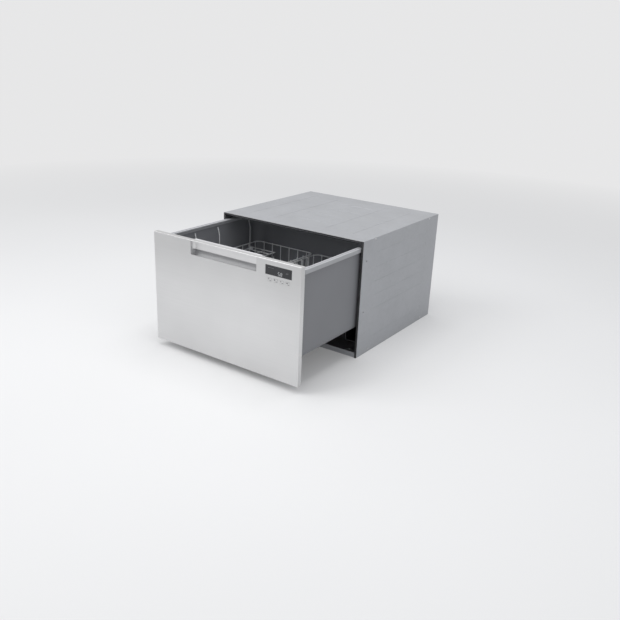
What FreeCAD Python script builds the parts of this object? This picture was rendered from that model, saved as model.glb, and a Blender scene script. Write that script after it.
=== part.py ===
import FreeCAD, Part
import math
import os

# A built-in dishwasher drawer, in millimetres, standing open as far as it is shown.
# X runs to the right seen from the front, Y runs into the cabinet, Z is up.
# The origin is the middle of the chassis base's underside.
# Everything on the drawer is drawn closed and moved out by OPEN_AT_REST when saved.

# ---- driving dimensions ----------------------------------------------------
HEIGHT = 410.0
CHASSIS_WIDTH = 597.0
CHASSIS_DEPTH = 553.0
SHEET = 1.2
PANEL_WIDTH = 599.0
PANEL_THICK = 17.6
PANEL_GAP = 2.4
PANEL_BOTTOM = 24.0
PANEL_TOP = 404.0
SKIN = 1.0
OPEN_AT_REST = 324.3

TUB_HALF = 283.5
TUB_WALL = 3.5
TUB_FRONT = -262.0
TUB_REAR = 226.0
TUB_UNDER = 107.0
TUB_CORNER = 34.0
RIM_TOP = 387.0
RIM_HALF = 289.5
RIM_OPENING_HALF = 273.5
RIM_SKIRT = 14.0
SUMP_Y = -18.0

RAIL_FACE = 246.0
RAIL_BOTTOM = 70.0
RAIL_HEIGHT = 35.0
RAIL_START = -270.0
RAIL_LENGTH = 500.0
RAIL_STEEL = 1.2

LID_DROP = 7.0
LID_BOTTOM = 399.0
LID_THICK = 7.5
CRANK_ARM = 24.0
CRANK_Y = (-200.0, 180.0)

HANDLE_HALF = 134.0
HANDLE_LOW = 357.5
HANDLE_DEPTH = 27.0
DISPLAY_X = (168.2, 265.8)
DISPLAY_Z = (358.6, 388.4)
KEY_X = (184.0, 206.5, 229.0, 251.5)
KEY_Z = 344.5
KEY_WIDE = 15.0
KEY_HIGH = 11.0

WIRE = 1.6
FRAME_WIRE = 2.2
RACK_INNER = 4.4
RACK_OUTER = 270.0
RACK_FRONT = -246.0
RACK_REAR = 210.0
RACK_FLOOR = 150.0
RACK_LOOP_Z = 276.0
RACK_TOP = 368.0
TALL_Y = (-133.0, -16.0, 156.0)
TINE_TOP = 248.0
CUP_HINGE = (253.0, 262.0)
CUP_REACH = 104.0
FIXED_TINE_X = 74.4
FOLD_HINGE = (FIXED_TINE_X + 80.0, 166.0)

LOOP_R = 10.0
LOOP_Z = 30.0
LOOP_FIXED_X = -250.0
LOOP_FIXED_Y = 238.0
LOOP_TURN_Y = -212.0
LOOP_TURN = 39.0

# ---- places that follow from them ------------------------------------------
FRONT = -CHASSIS_DEPTH / 2
REAR = CHASSIS_DEPTH / 2
WALL_IN = CHASSIS_WIDTH / 2 - SHEET
PANEL_BACK = FRONT - PANEL_GAP
PANEL_FRONT = PANEL_BACK - PANEL_THICK
TUB_FLOOR = TUB_UNDER + TUB_WALL
TUB_IN = TUB_HALF - TUB_WALL
FIT = 0.08
ROUND_GAP = 0.4


def vec(x, y, z):
    """A point or direction."""
    return FreeCAD.Vector(x, y, z)


ALONG_X = vec(1, 0, 0)
ALONG_Y = vec(0, 1, 0)
UP = vec(0, 0, 1)


# ---- helpers ---------------------------------------------------------------
def block(x0, x1, y0, y1, z0, z1):
    """A box between two opposite corners."""
    return Part.makeBox(x1 - x0, y1 - y0, z1 - z0, vec(x0, y0, z0))


def rod(start, end, radius):
    """A straight round bar between two points."""
    return Part.makeCylinder(radius, (end - start).Length, start, end - start)


def disc(x, y, z0, z1, radius):
    """An upright round piece from z0 to z1."""
    return Part.makeCylinder(radius, z1 - z0, vec(x, y, z0), UP)


def disc_y(x, z, y0, y1, radius):
    """A round piece lying along Y."""
    return rod(vec(x, y0, z), vec(x, y1, z), radius)


def ring(x, y, z0, z1, outer, inner):
    """An upright round tube from z0 to z1."""
    return disc(x, y, z0, z1, outer).cut(disc(x, y, z0, z1, inner))


def mirrored(shape):
    """The same shape on the other side of the middle plane."""
    return shape.mirror(vec(0, 0, 0), ALONG_X)


def both_sides(shape):
    """A shape and its mirror image, as two solids."""
    return [shape, mirrored(shape)]


def edges_along(shape, direction):
    """The straight edges of a shape that run along one axis."""
    found = []
    for edge in shape.Edges:
        if isinstance(edge.Curve, Part.Line):
            if edge.Curve.Direction.cross(direction).Length < 1e-6:
                found.append(edge)
    return found


def rounded(shape, direction, radius):
    """A box with its four edges along one axis rounded."""
    return shape.makeFillet(radius, edges_along(shape, direction))


def rounded_block(half_x, y0, y1, z0, z1, radius):
    """A box centred on X with rounded upright corners."""
    return rounded(block(-half_x, half_x, y0, y1, z0, z1), UP, radius)


def joined(shapes):
    """One solid from several that touch or overlap."""
    return shapes[0].fuse(shapes[1:]).removeSplitter()


def group(shapes):
    """Separate solids kept together in one node."""
    return Part.makeCompound(shapes)


def bent_edges(points, bends):
    """The straight and curved edges, in order, of a path with one bend per corner."""
    edges = []
    start = points[0]
    for before, corner, after, bend in zip(points, points[1:], points[2:], bends):
        back = (before - corner).normalize()
        onward = (after - corner).normalize()
        half_angle = back.getAngle(onward) / 2
        inward = (back + onward).normalize()
        arc_start = corner + back * (bend / math.tan(half_angle))
        arc_end = corner + onward * (bend / math.tan(half_angle))
        arc_middle = corner + inward * (bend / math.sin(half_angle) - bend)
        edges.append(Part.LineSegment(start, arc_start).toShape())
        edges.append(Part.Arc(arc_start, arc_middle, arc_end).toShape())
        start = arc_end
    edges.append(Part.LineSegment(start, points[-1]).toShape())
    return edges


def swept(edges, radius):
    """A round section swept along edges that run into each other."""
    first = edges[0]
    start = first.valueAt(first.FirstParameter)
    section = Part.Wire(Part.makeCircle(radius, start, first.tangentAt(first.FirstParameter)))
    return Part.Wire(edges).makePipeShell([section], True, False)


def bent_rod(points, bends, radius):
    """A round rod along straight runs joined by tangent arcs, one bend per corner."""
    return swept(bent_edges(points, bends), radius)


def wire_lengths(points, bends, radius):
    """A bent wire as its straight lengths and its bends, one solid each, end to end."""
    return [swept([edge], radius) for edge in bent_edges(points, bends)]


def wire_loop(x0, x1, y0, y1, z, bend, radius):
    """A level wire loop, butt-welded at the middle of its low-Y side."""
    middle = (x0 + x1) / 2
    points = [
        vec(middle, y0, z), vec(x1, y0, z), vec(x1, y1, z),
        vec(x0, y1, z), vec(x0, y0, z), vec(middle, y0, z),
    ]
    return wire_lengths(points, [bend] * 4, radius)


def extruded(outline, direction):
    """A prism from a closed list of edges."""
    return Part.Face(Part.Wire(outline)).extrude(direction)


def line(a, b):
    """A straight edge between two points."""
    return Part.LineSegment(a, b).toShape()


def arc(a, b, c):
    """A circular edge from a to c through b."""
    return Part.Arc(a, b, c).toShape()


def save(node, shape, moved_out=0.0):
    """Write one node, moved out of the cabinet by the given distance."""
    placed = shape.copy()
    placed.translate(vec(0, -moved_out, 0))
    placed.exportStep("parts/" + node + ".step")
    print(node, round(placed.Volume), len(placed.Solids), placed.isValid())


# ---- chassis ---------------------------------------------------------------
PAN_FLANGE = 18.0
TOP_FLANGE = 9.0
FLANGE_IN = 291.0
SCREW_R = 1.9
SCREW_Y = (-200.0, 200.0)
SCREW_Z = (10.0, 405.0)
FIXING_Y = -250.0
FIXING_Z = (160.0, 340.0)
FIXING_R = 2.5
SHELF_X = 240.0
SHELF_Y = 225.0
SHELF_HOLE_R = 3.0
TOP_HEM = 5.0
BED_X = (-268.0, -152.0)
INLET = (-246.0, 44.0)
DRAIN = (-190.0, 44.0)
GLAND = (215.0, 44.0)
INLET_R = 13.2
DRAIN_R = 9.5
GLAND_BORE_R = 4.2
STUD_R = 3.0
CRANK_TILT = math.degrees(math.asin(LID_DROP / 2 / CRANK_ARM))
PIN_Z = LID_BOTTOM + 1.5
STUD_Z = PIN_Z - LID_DROP / 2
CRANK_X = (290.6, 293.6)
BAR_X = (294.2, 296.4)
PAN_ANGLE_X = (246.0, 270.0)
PAN_ANGLE = (2.0, 32.0)
VENT_X = range(-60, 61, 12)
VENT_WIDE = 4.0
VENT_Z = (150.0, 190.0)
TRIM = 1.8
TRIM_ROUND = 0.6
HEAD_R = 4.0
HEAD_HIGH = 1.0
SCREW_LONG = 3.0
ACTUATOR = (256.0, 293.0, 240.0, 268.0, 350.0, 390.0)
ACTUATOR_MOTOR = (226.0, 254.0, 12.0)
CASE_ROUND = 4.0
VALVE_HALF = 20.0
VALVE_HIGH = 22.0
VALVE_Y = (238.0, 262.0)
COIL_R = 14.0
COIL_HIGH = 30.0
INLET_BORE_R = 7.5
OUTLET_HALF = 15.0
OUTLET_HIGH = 16.0
OUTLET_Y = (240.0, 256.0)
DRAIN_BORE_R = 6.5
GLAND_BOX_HALF = 26.0
GLAND_BOX_HIGH = 24.0
GLAND_BOX_Y = (236.0, 260.0)
GLAND_R = 9.0
GLAND_NUT = (262.0, 268.0, 12.0)


def screw_holes(radius):
    """Cross holes for the screws that join the side panels to base and top."""
    low, high = SCREW_Z
    return [rod(vec(WALL_IN - 4, y, z), vec(WALL_IN + 4, y, z), radius)
            for y in SCREW_Y for z in (low, high)]


def base_pan():
    """A flanged tray with stiffening angles and the raised bed the service loop lies on."""
    half = WALL_IN
    floor = block(-half, half, FRONT, REAR - SHEET, 0, SHEET)
    sides = both_sides(block(half - SHEET, half, FRONT, REAR - SHEET, SHEET, PAN_FLANGE))
    front = block(-half, half, FRONT, FRONT + SHEET, SHEET, PAN_FLANGE)
    rear = block(-half, half, REAR - 2 * SHEET, REAR - SHEET, SHEET, PAN_FLANGE)
    angles = []
    thick, reach = PAN_ANGLE
    for x in PAN_ANGLE_X:
        angles += both_sides(block(x, x + thick, FRONT + SHEET, FRONT + reach,
                                   SHEET, PAN_FLANGE - 4))
    bed_top = LOOP_Z - LOOP_R - 0.2
    bed = block(BED_X[0], BED_X[1], FRONT + 14, LOOP_FIXED_Y - 4, bed_top - SHEET, bed_top)
    legs = [block(x, x + SHEET, FRONT + 14, LOOP_FIXED_Y - 4, SHEET, bed_top - SHEET)
            for x in (BED_X[0], BED_X[1] - SHEET)]
    pan = joined([floor, front, rear, bed] + sides + angles + legs)
    holes = [disc(x, y, -1, SHEET + 1, SHELF_HOLE_R)
             for x in (-SHELF_X, SHELF_X) for y in (-SHELF_Y, SHELF_Y)]
    screws = screw_holes(SCREW_R + 0.1)
    return pan.cut(holes + screws + [mirrored(hole) for hole in screws])


def side_panel():
    """The right side sheet, with its front return and the four lid studs' rivets."""
    sheet = block(WALL_IN, WALL_IN + SHEET, FRONT, REAR, 0, HEIGHT)
    front_return = block(FLANGE_IN, WALL_IN, FRONT, FRONT + SHEET, PAN_FLANGE, HEIGHT - SHEET)
    panel = joined([sheet, front_return])
    fixings = [rod(vec(WALL_IN - 1, FIXING_Y, z), vec(WALL_IN + 3, FIXING_Y, z), FIXING_R)
               for z in FIXING_Z]
    panel = panel.cut(screw_holes(SCREW_R + 0.1) + fixings)
    studs = [rod(vec(WALL_IN, y, STUD_Z), vec(CRANK_X[0] - 0.3, y, STUD_Z), STUD_R)
             for y in CRANK_Y]
    return joined([panel] + studs)


def back_panel():
    """The rear sheet, with holes for the water, drain and mains connections."""
    sheet = block(-WALL_IN, WALL_IN, REAR - SHEET, REAR, 0, HEIGHT - SHEET)
    holes = [disc_y(x, z, REAR - 3, REAR + 1, r + 5)
             for (x, z), r in ((INLET, INLET_R), (DRAIN, DRAIN_R))]
    holes.append(disc_y(GLAND[0], GLAND[1], REAR - 3, REAR + 1, GLAND_R + 1))
    vents = [block(x, x + VENT_WIDE, REAR - 3, REAR + 1, VENT_Z[0], VENT_Z[1]) for x in VENT_X]
    return sheet.cut(holes + vents)


def top_panel():
    """The top sheet, hemmed down along the front."""
    sheet = block(-WALL_IN, WALL_IN, FRONT, REAR, HEIGHT - SHEET, HEIGHT)
    hem = block(-FLANGE_IN, FLANGE_IN, FRONT, FRONT + SHEET, HEIGHT - TOP_HEM, HEIGHT - SHEET)
    sides = both_sides(block(WALL_IN - SHEET, WALL_IN, FRONT + SHEET, REAR - SHEET,
                             HEIGHT - TOP_FLANGE, HEIGHT - SHEET))
    top = joined([sheet, hem] + sides)
    screws = screw_holes(SCREW_R + 0.1)
    return top.cut(screws + [mirrored(hole) for hole in screws])


def edge_trim():
    """Soft strips on the front returns and the hem that the closed panel meets."""
    front = FRONT - TRIM
    outer = WALL_IN + SHEET
    side = rounded(block(FLANGE_IN, outer, front, FRONT, 0, HEIGHT), UP, TRIM_ROUND)
    top = block(-FLANGE_IN + 0.2, FLANGE_IN - 0.2, front, FRONT, HEIGHT - TOP_HEM, HEIGHT)
    return group(both_sides(side) + [rounded(top, ALONG_X, TRIM_ROUND)])


def chassis_screws():
    """Pan-head screws through both sides, all alike."""
    screws = []
    outer = WALL_IN + SHEET
    for y in SCREW_Y:
        for z in SCREW_Z:
            shank = rod(vec(outer, y, z), vec(outer - SCREW_LONG, y, z), SCREW_R)
            head = rod(vec(outer, y, z), vec(outer + HEAD_HIGH, y, z), HEAD_R)
            slot = block(outer + HEAD_HIGH / 2, outer + 2, y - HEAD_R + 1, y + HEAD_R - 1,
                         z - 0.4, z + 0.4)
            screws += both_sides(joined([shank, head]).cut(slot))
    return group(screws)


def lid_actuators():
    """The two closed gearmotor housings that drive the lid bars, all alike."""
    x0, x1, y0, y1, z0, z1 = ACTUATOR
    motor_end, motor_y, motor_r = ACTUATOR_MOTOR
    middle = (z0 + z1) / 2
    housing = rounded(block(x0, x1, y0, y1, z0, z1), ALONG_X, CASE_ROUND)
    foot = block(x0 + 6, x1 - 6, y1, REAR - SHEET, z0 + 6, z1 - 6)
    motor = rod(vec(x0, motor_y, middle), vec(motor_end, motor_y, middle), motor_r)
    return group(both_sides(joined([housing, foot, motor])))


def inlet_valve():
    """The water valve, with its threaded spigot reaching through the back."""
    x, z = INLET
    y0, y1 = VALVE_Y
    low, high = z - VALVE_HIGH, z + VALVE_HIGH
    body = rounded(block(x - VALVE_HALF, x + VALVE_HALF, y0, y1, low, high), ALONG_Y, CASE_ROUND)
    coil = disc(x, (y0 + y1) / 2, high, high + COIL_HIGH, COIL_R)
    spigot = disc_y(x, z, y1, REAR, INLET_R)
    collar = disc_y(x, z, y1, y1 + 4, INLET_R + 3)
    foot = block(x - VALVE_HALF, x + 2 * VALVE_HALF, y0, y1 - 4, SHEET, low)
    valve = joined([body, coil, spigot, collar, foot])
    return valve.cut(disc_y(x, z, y1 - 4, REAR + 1, INLET_BORE_R))


def drain_outlet():
    """The barbed drain spigot on its foot."""
    x, z = DRAIN
    y0, y1 = OUTLET_Y
    low, high = z - OUTLET_HIGH, z + OUTLET_HIGH
    body = rounded(block(x - OUTLET_HALF, x + OUTLET_HALF, y0, y1, low, high), ALONG_Y, CASE_ROUND)
    spigot = disc_y(x, z, y1, REAR, DRAIN_R)
    foot = block(x - OUTLET_HALF - 1, x + OUTLET_HALF - 5, y0 + 2, y1 - 2, SHEET, low)
    outlet = joined([body, spigot, foot])
    return outlet.cut(disc_y(x, z, y1 - 6, REAR + 1, DRAIN_BORE_R))


def mains_gland():
    """The screwed cable gland in the back panel and the terminal box behind it."""
    x, z = GLAND
    y0, y1 = GLAND_BOX_Y
    nut_start, nut_end, nut_r = GLAND_NUT
    box = rounded(block(x - GLAND_BOX_HALF, x + GLAND_BOX_HALF, y0, y1,
                        z - GLAND_BOX_HIGH, z + GLAND_BOX_HIGH), ALONG_Y, CASE_ROUND)
    body = disc_y(x, z, y1, REAR, GLAND_R)
    nut = disc_y(x, z, nut_start, nut_end, nut_r)
    foot = block(x - GLAND_BOX_HALF + 8, x + GLAND_BOX_HALF - 8, y0 + 4, y1 - 4,
                 SHEET, z - GLAND_BOX_HIGH)
    gland = joined([box, body, nut, foot])
    return gland.cut(disc_y(x, z, y1 - 2, REAR + 1, GLAND_BORE_R))


# ---- telescopic rails, given by distance in from the bracket they hang on -----
LIP_GAP = 4.2
BALL_R = 1.8
OUTER_REACH = 10.5
MIDDLE_WEB = 3.0
MIDDLE_REACH = 11.2
INNER_FACE = 12.9
INNER_START = 5.5
CAGE_START = -130.0
CAGE_LENGTH = 220.0
BALL_PITCH = 30.0
OUTER_CAGE = (1.7, 0.8, 8.6)
INNER_CAGE = (4.6, 0.6, 10.6)
RAIL_SCREW_R = 2.2
OUTER_SCREW_Y = (-240.0, -40.0, 160.0, 210.0)
INNER_SCREW_Y = (-240.0, -60.0, 120.0, 210.0)
MIDDLE_SLOT_Y = (-250.0, -190.0, -130.0, 100.0, 160.0)
MIDDLE_SLOT = (30.0, 4.0)
RAIL_MIDDLE = RAIL_BOTTOM + RAIL_HEIGHT / 2
BRACKET = 2.0
BRACKET_LOW = 54.0
BRACKET_WING = 104.0
MIDDLE_INSET = RAIL_STEEL + LIP_GAP
INNER_INSET = 2 * MIDDLE_INSET


def rail_block(u0, u1, y0, y1, z0, z1):
    """A box on the right, from u0 to u1 in from the bracket's face."""
    return block(RAIL_FACE - u1, RAIL_FACE - u0, y0, y1, z0, z1)


def channel(web, reach, inset):
    """A rolled C channel: an upright web and two lips reaching to one side."""
    low = RAIL_BOTTOM + inset
    high = RAIL_BOTTOM + RAIL_HEIGHT - inset
    end = RAIL_START + RAIL_LENGTH
    near, far = sorted((web, reach))
    full = rail_block(near, far, RAIL_START, end, low, high)
    if reach > web:
        hollow = rail_block(web + RAIL_STEEL, far + 1, RAIL_START, end,
                            low + RAIL_STEEL, high - RAIL_STEEL)
    else:
        hollow = rail_block(near - 1, web - RAIL_STEEL, RAIL_START, end,
                            low + RAIL_STEEL, high - RAIL_STEEL)
    return full.cut(hollow)


def outer_rail():
    """The fixed rail on its folded bracket, which stands out from the chassis wall."""
    rail = channel(0.0, OUTER_REACH, 0.0)
    end = RAIL_START + RAIL_LENGTH
    face = block(RAIL_FACE, RAIL_FACE + BRACKET, RAIL_START, end,
                 BRACKET_LOW, RAIL_BOTTOM + RAIL_HEIGHT)
    arm = block(RAIL_FACE, WALL_IN, RAIL_START, end, BRACKET_LOW, BRACKET_LOW + BRACKET)
    wing = block(WALL_IN - BRACKET, WALL_IN, RAIL_START, end, BRACKET_LOW, BRACKET_WING)
    holes = [rod(vec(RAIL_FACE - 3, y, RAIL_MIDDLE), vec(RAIL_FACE + 3, y, RAIL_MIDDLE),
                 RAIL_SCREW_R) for y in OUTER_SCREW_Y]
    wall_holes = [rod(vec(WALL_IN - 3, y, RAIL_MIDDLE), vec(WALL_IN + 1, y, RAIL_MIDDLE),
                      RAIL_SCREW_R) for y in OUTER_SCREW_Y]
    return joined([rail, face, arm, wing]).cut(holes + wall_holes)


def middle_rail():
    """The intermediate member that carries the drawer half way out."""
    rail = channel(MIDDLE_WEB, MIDDLE_REACH, MIDDLE_INSET)
    long, half = MIDDLE_SLOT
    slots = [rounded(rail_block(MIDDLE_WEB - 1, MIDDLE_WEB + 2, y, y + long,
                                RAIL_MIDDLE - half, RAIL_MIDDLE + half), ALONG_X, half - 0.1)
             for y in MIDDLE_SLOT_Y]
    return rail.cut(slots)


def inner_rail():
    """The member screwed to the tub cradle, its web towards the tub."""
    rail = channel(INNER_FACE, INNER_START, INNER_INSET)
    web = RAIL_FACE - INNER_FACE
    holes = [rod(vec(web - 1, y, RAIL_MIDDLE), vec(web + 2, y, RAIL_MIDDLE), RAIL_SCREW_R)
             for y in INNER_SCREW_Y]
    return rail.cut(holes)


def ball_cage(section, inset):
    """A cage strip with its tabs and caught balls, for one side of one gap."""
    web, thick, reach = section
    gap_middle = inset + RAIL_STEEL + LIP_GAP / 2
    low = RAIL_BOTTOM + gap_middle
    high = RAIL_BOTTOM + RAIL_HEIGHT - gap_middle
    end = CAGE_START + CAGE_LENGTH
    half = thick / 2
    parts = [
        rail_block(web, web + thick, CAGE_START, end, low, high),
        rail_block(web, reach, CAGE_START, end, low - half, low + half),
        rail_block(web, reach, CAGE_START, end, high - half, high + half),
    ]
    ball_u = reach - BALL_R - 0.4
    y = CAGE_START + BALL_PITCH / 2
    while y < end:
        for z in (low, high):
            parts.append(Part.makeSphere(BALL_R, vec(RAIL_FACE - ball_u, y, z)))
        y += BALL_PITCH
    return parts[0].fuse(parts[1:])


def outer_cages():
    """The ball strips between outer and middle rails, both sides."""
    return group(both_sides(ball_cage(OUTER_CAGE, 0.0)))


def inner_cages():
    """The ball strips between middle and inner rails, both sides."""
    return group(both_sides(ball_cage(INNER_CAGE, MIDDLE_INSET)))


# ---- tub lid and its drive ---------------------------------------------------
LID_HALF = 287.0
LID_FRONT = -264.5
LID_REAR = 230.5
TAB_X = (285.5, 287.5)
PIN_R = 2.0
SLOT_HALF = 2.35
RIB_X = (-180.0, -60.0, 60.0, 180.0)
TAB_HALF = 12.0
SEAL_HIGH = 4.5
SEAL_WIDE = 7.0
SEAL_CORNER = 28.0
CRANK_EYE_R = 5.5
CRANK_HALF = 4.0
BAR_HALF = 5.0
BAR_EYE_R = 7.5
BAR_END = 262.0


def lid_panel():
    """A shallow pressed lid with stiffening ribs and four slotted side tabs."""
    high = LID_BOTTOM + LID_THICK
    tray = rounded_block(LID_HALF - 2, LID_FRONT, LID_REAR, LID_BOTTOM, high, 10)
    pocket = rounded_block(LID_HALF - 10, LID_FRONT + 8, LID_REAR - 8, LID_BOTTOM + 2.5, high, 6)
    ribs = [block(x - 1.5, x + 1.5, LID_FRONT + 6, LID_REAR - 6, LID_BOTTOM + 2, high - 1)
            for x in RIB_X]
    lid = joined([tray.cut(pocket)] + ribs)
    tabs = []
    slots = []
    reach = CRANK_ARM * math.cos(math.radians(CRANK_TILT))
    for y in CRANK_Y:
        pin_y = y + reach
        tab = block(TAB_X[0] - 1.5, TAB_X[1], pin_y - TAB_HALF, pin_y + TAB_HALF,
                    LID_BOTTOM - 4.0, high)
        slot = rounded(block(TAB_X[0] - 2, TAB_X[1] + 1, pin_y - 4, pin_y + 4,
                             PIN_Z - SLOT_HALF, PIN_Z + SLOT_HALF), ALONG_X, SLOT_HALF - 0.01)
        tabs += both_sides(tab)
        slots += both_sides(slot)
    return joined([lid] + tabs).cut(slots)


def lid_seal():
    """The rubber ring under the lid that lands on the tub's rim."""
    low = LID_BOTTOM - SEAL_HIGH
    half, front, rear = LID_HALF - 4, LID_FRONT + 2, LID_REAR - 2
    outer = rounded_block(half, front, rear, low, LID_BOTTOM, SEAL_CORNER)
    inner = rounded_block(half - SEAL_WIDE, front + SEAL_WIDE, rear - SEAL_WIDE,
                          low, LID_BOTTOM, SEAL_CORNER - 6)
    return outer.cut(inner)


def crank(pivot_y):
    """One bell crank on the right: its inner pin lifts the lid, its outer pin meets the bar."""
    tilt = math.radians(CRANK_TILT)
    pivot = vec(CRANK_X[0], pivot_y, STUD_Z)
    lid_end = pivot + vec(0, CRANK_ARM * math.cos(tilt), CRANK_ARM * math.sin(tilt))
    bar_end = pivot + vec(0, CRANK_ARM * math.sin(tilt), -CRANK_ARM * math.cos(tilt))
    thick = vec(CRANK_X[1] - CRANK_X[0], 0, 0)
    parts = [rod(point, point + thick, CRANK_EYE_R) for point in (pivot, lid_end, bar_end)]
    for end in (lid_end, bar_end):
        along = (end - pivot).normalize()
        side = along.cross(ALONG_X) * CRANK_HALF
        outline = [pivot + side, end + side, end - side, pivot - side]
        edges = [line(a, b) for a, b in zip(outline, outline[1:] + outline[:1])]
        parts.append(extruded(edges, thick))
    parts.append(rod(lid_end, lid_end - vec(CRANK_X[0] - TAB_X[0] + 1.0, 0, 0), PIN_R))
    parts.append(rod(bar_end + thick, bar_end + thick + vec(2.6, 0, 0), PIN_R))
    bore = rod(pivot - thick, pivot + thick * 2, STUD_R + FIT)
    return joined(parts).cut(bore)


def lid_bar():
    """The flat bar on the right that both cranks of that side hang on."""
    tilt = math.radians(CRANK_TILT)
    z = STUD_Z - CRANK_ARM * math.cos(tilt)
    shift = CRANK_ARM * math.sin(tilt)
    bar = block(BAR_X[0], BAR_X[1], CRANK_Y[0] - 14, BAR_END, z - BAR_HALF, z + BAR_HALF)
    ends = [rod(vec(BAR_X[0], y + shift, z), vec(BAR_X[1], y + shift, z), BAR_EYE_R)
            for y in CRANK_Y]
    slots = [rounded(block(BAR_X[0] - 1, BAR_X[1] + 1, y + shift - SLOT_HALF,
                           y + shift + SLOT_HALF, z - 4, z + 4), ALONG_X, SLOT_HALF - 0.01)
             for y in CRANK_Y]
    return joined([bar] + ends).cut(slots)


# ---- drawer front ------------------------------------------------------------
SPACER_TOP = 386.0
SPACER_WALL = 3.0
PLATE = 3.0
SCREW_HEAD_R = 4.0
FRONT_SCREW_X = 290.5
FRONT_SCREW_Z = (60.0, 200.0, 350.0)
KEY_PROUD = 0.3
KEY_GAP = 0.35
KEY_ROUND = 3.0
KEY_STEM = (5.8, 2.0)
FACE_ROUND = 1.6
CARRIER_RIB_X = (-200.0, -100.0, 0.0, 100.0, 200.0)
CARRIER_RIB_Z = (120.0, 220.0, 320.0)
CARRIER_RIB_HALF = 1.2
RIM_CLEAR = 4.3
POCKET_LOW = 345.0
GRIP_DEEP = (14.0, 18.0)
GRIP_RISE = 17.0
LENS_FLANGE = 3.0
LENS_THICK = 1.4
BOARD_DEEP = (11.0, 12.6)
BOARD_Z = (332.0, 392.0)
READOUT_DEEP = 2.4
SWITCH_DEEP = 6.6
SWITCH_HALF = 3.0
POST_R = 2.5


def key_block(x, grow, d0, d1):
    """A rounded block over one key, d0 to d1 in from the panel's face."""
    shape = block(x - KEY_WIDE / 2 - grow, x + KEY_WIDE / 2 + grow, PANEL_FRONT + d0,
                  PANEL_FRONT + d1, KEY_Z - KEY_HIGH / 2 - grow, KEY_Z + KEY_HIGH / 2 + grow)
    return rounded(shape, ALONG_Y, KEY_ROUND)


def front_skin():
    """The folded stainless face, with its handle, display and key openings."""
    half = PANEL_WIDTH / 2
    full = block(-half, half, PANEL_FRONT, PANEL_BACK, PANEL_BOTTOM, PANEL_TOP)
    face_edges = [edge for edge in full.Edges
                  if all(abs(v.Y - PANEL_FRONT) < 0.01 for v in edge.Vertexes)]
    full = full.makeFillet(FACE_ROUND, face_edges)
    inside = block(-half + SKIN, half - SKIN, PANEL_FRONT + SKIN, PANEL_BACK + 1,
                   PANEL_BOTTOM + SKIN, PANEL_TOP - SKIN)
    handle = block(-HANDLE_HALF, HANDLE_HALF, PANEL_FRONT - 1, PANEL_FRONT + 2,
                   HANDLE_LOW, PANEL_TOP - 2.0)
    display = block(DISPLAY_X[0], DISPLAY_X[1], PANEL_FRONT - 1, PANEL_FRONT + 2,
                    DISPLAY_Z[0], DISPLAY_Z[1])
    keys = [key_block(x, KEY_GAP, -1, 2) for x in KEY_X]
    return full.cut([inside, handle, display] + keys)


def front_carrier():
    """The moulded frame behind the skin and the spacer ring that meets the tub."""
    half = PANEL_WIDTH / 2 - SKIN
    low = PANEL_BOTTOM + SKIN
    high = PANEL_TOP - SKIN
    plate_front = PANEL_BACK - PLATE
    plate = block(-half, half, plate_front, PANEL_BACK, low, high)
    frame = block(-half, half, PANEL_FRONT + SKIN, plate_front, low, high).cut(
        block(-half + PLATE, half - PLATE, PANEL_FRONT, PANEL_BACK, low + PLATE, high - PLATE))
    ribs = [block(x - CARRIER_RIB_HALF, x + CARRIER_RIB_HALF, PANEL_FRONT + SKIN, plate_front,
                  low, CARRIER_RIB_Z[-1]) for x in CARRIER_RIB_X]
    cross = [block(-half, half, PANEL_FRONT + SKIN, plate_front,
                   z - CARRIER_RIB_HALF, z + CARRIER_RIB_HALF) for z in CARRIER_RIB_Z]
    lower = block(-TUB_HALF, TUB_HALF, PANEL_BACK, TUB_FRONT, TUB_UNDER, RIM_TOP - RIM_SKIRT)
    upper = block(-RIM_HALF, RIM_HALF, PANEL_BACK, TUB_FRONT - RIM_CLEAR,
                  RIM_TOP - RIM_SKIRT, SPACER_TOP)
    hollow = block(-TUB_HALF + SPACER_WALL, TUB_HALF - SPACER_WALL, PANEL_BACK, TUB_FRONT,
                   TUB_UNDER + SPACER_WALL, RIM_TOP - RIM_SKIRT - SPACER_WALL)
    carrier = joined([plate, frame, lower, upper] + ribs + cross)
    pocket = block(-HANDLE_HALF - 3.2, HANDLE_HALF + 3.2, PANEL_FRONT, TUB_FRONT - RIM_CLEAR + 0.1,
                   POCKET_LOW, high + 1)
    holes = []
    for x in (-FRONT_SCREW_X, FRONT_SCREW_X):
        for z in FRONT_SCREW_Z:
            holes.append(countersunk(x, z, 0.05))
    return carrier.cut([hollow, pocket] + holes)


def countersunk(x, z, grow):
    """A countersunk screw through the carrier plate, its head flush at the back."""
    head = Part.makeCone(SCREW_HEAD_R + grow, 2.0 + grow, 2.2, vec(x, PANEL_BACK, z), -ALONG_Y)
    shank = rod(vec(x, PANEL_BACK - 2.2, z), vec(x, PANEL_BACK - 6, z), 2.0 + grow)
    return joined([head, shank])


def front_screws():
    """The screws round the back of the panel, all alike."""
    screws = []
    for x in (-FRONT_SCREW_X, FRONT_SCREW_X):
        for z in FRONT_SCREW_Z:
            screws.append(countersunk(x, z, 0.0))
    return group(screws)


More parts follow.
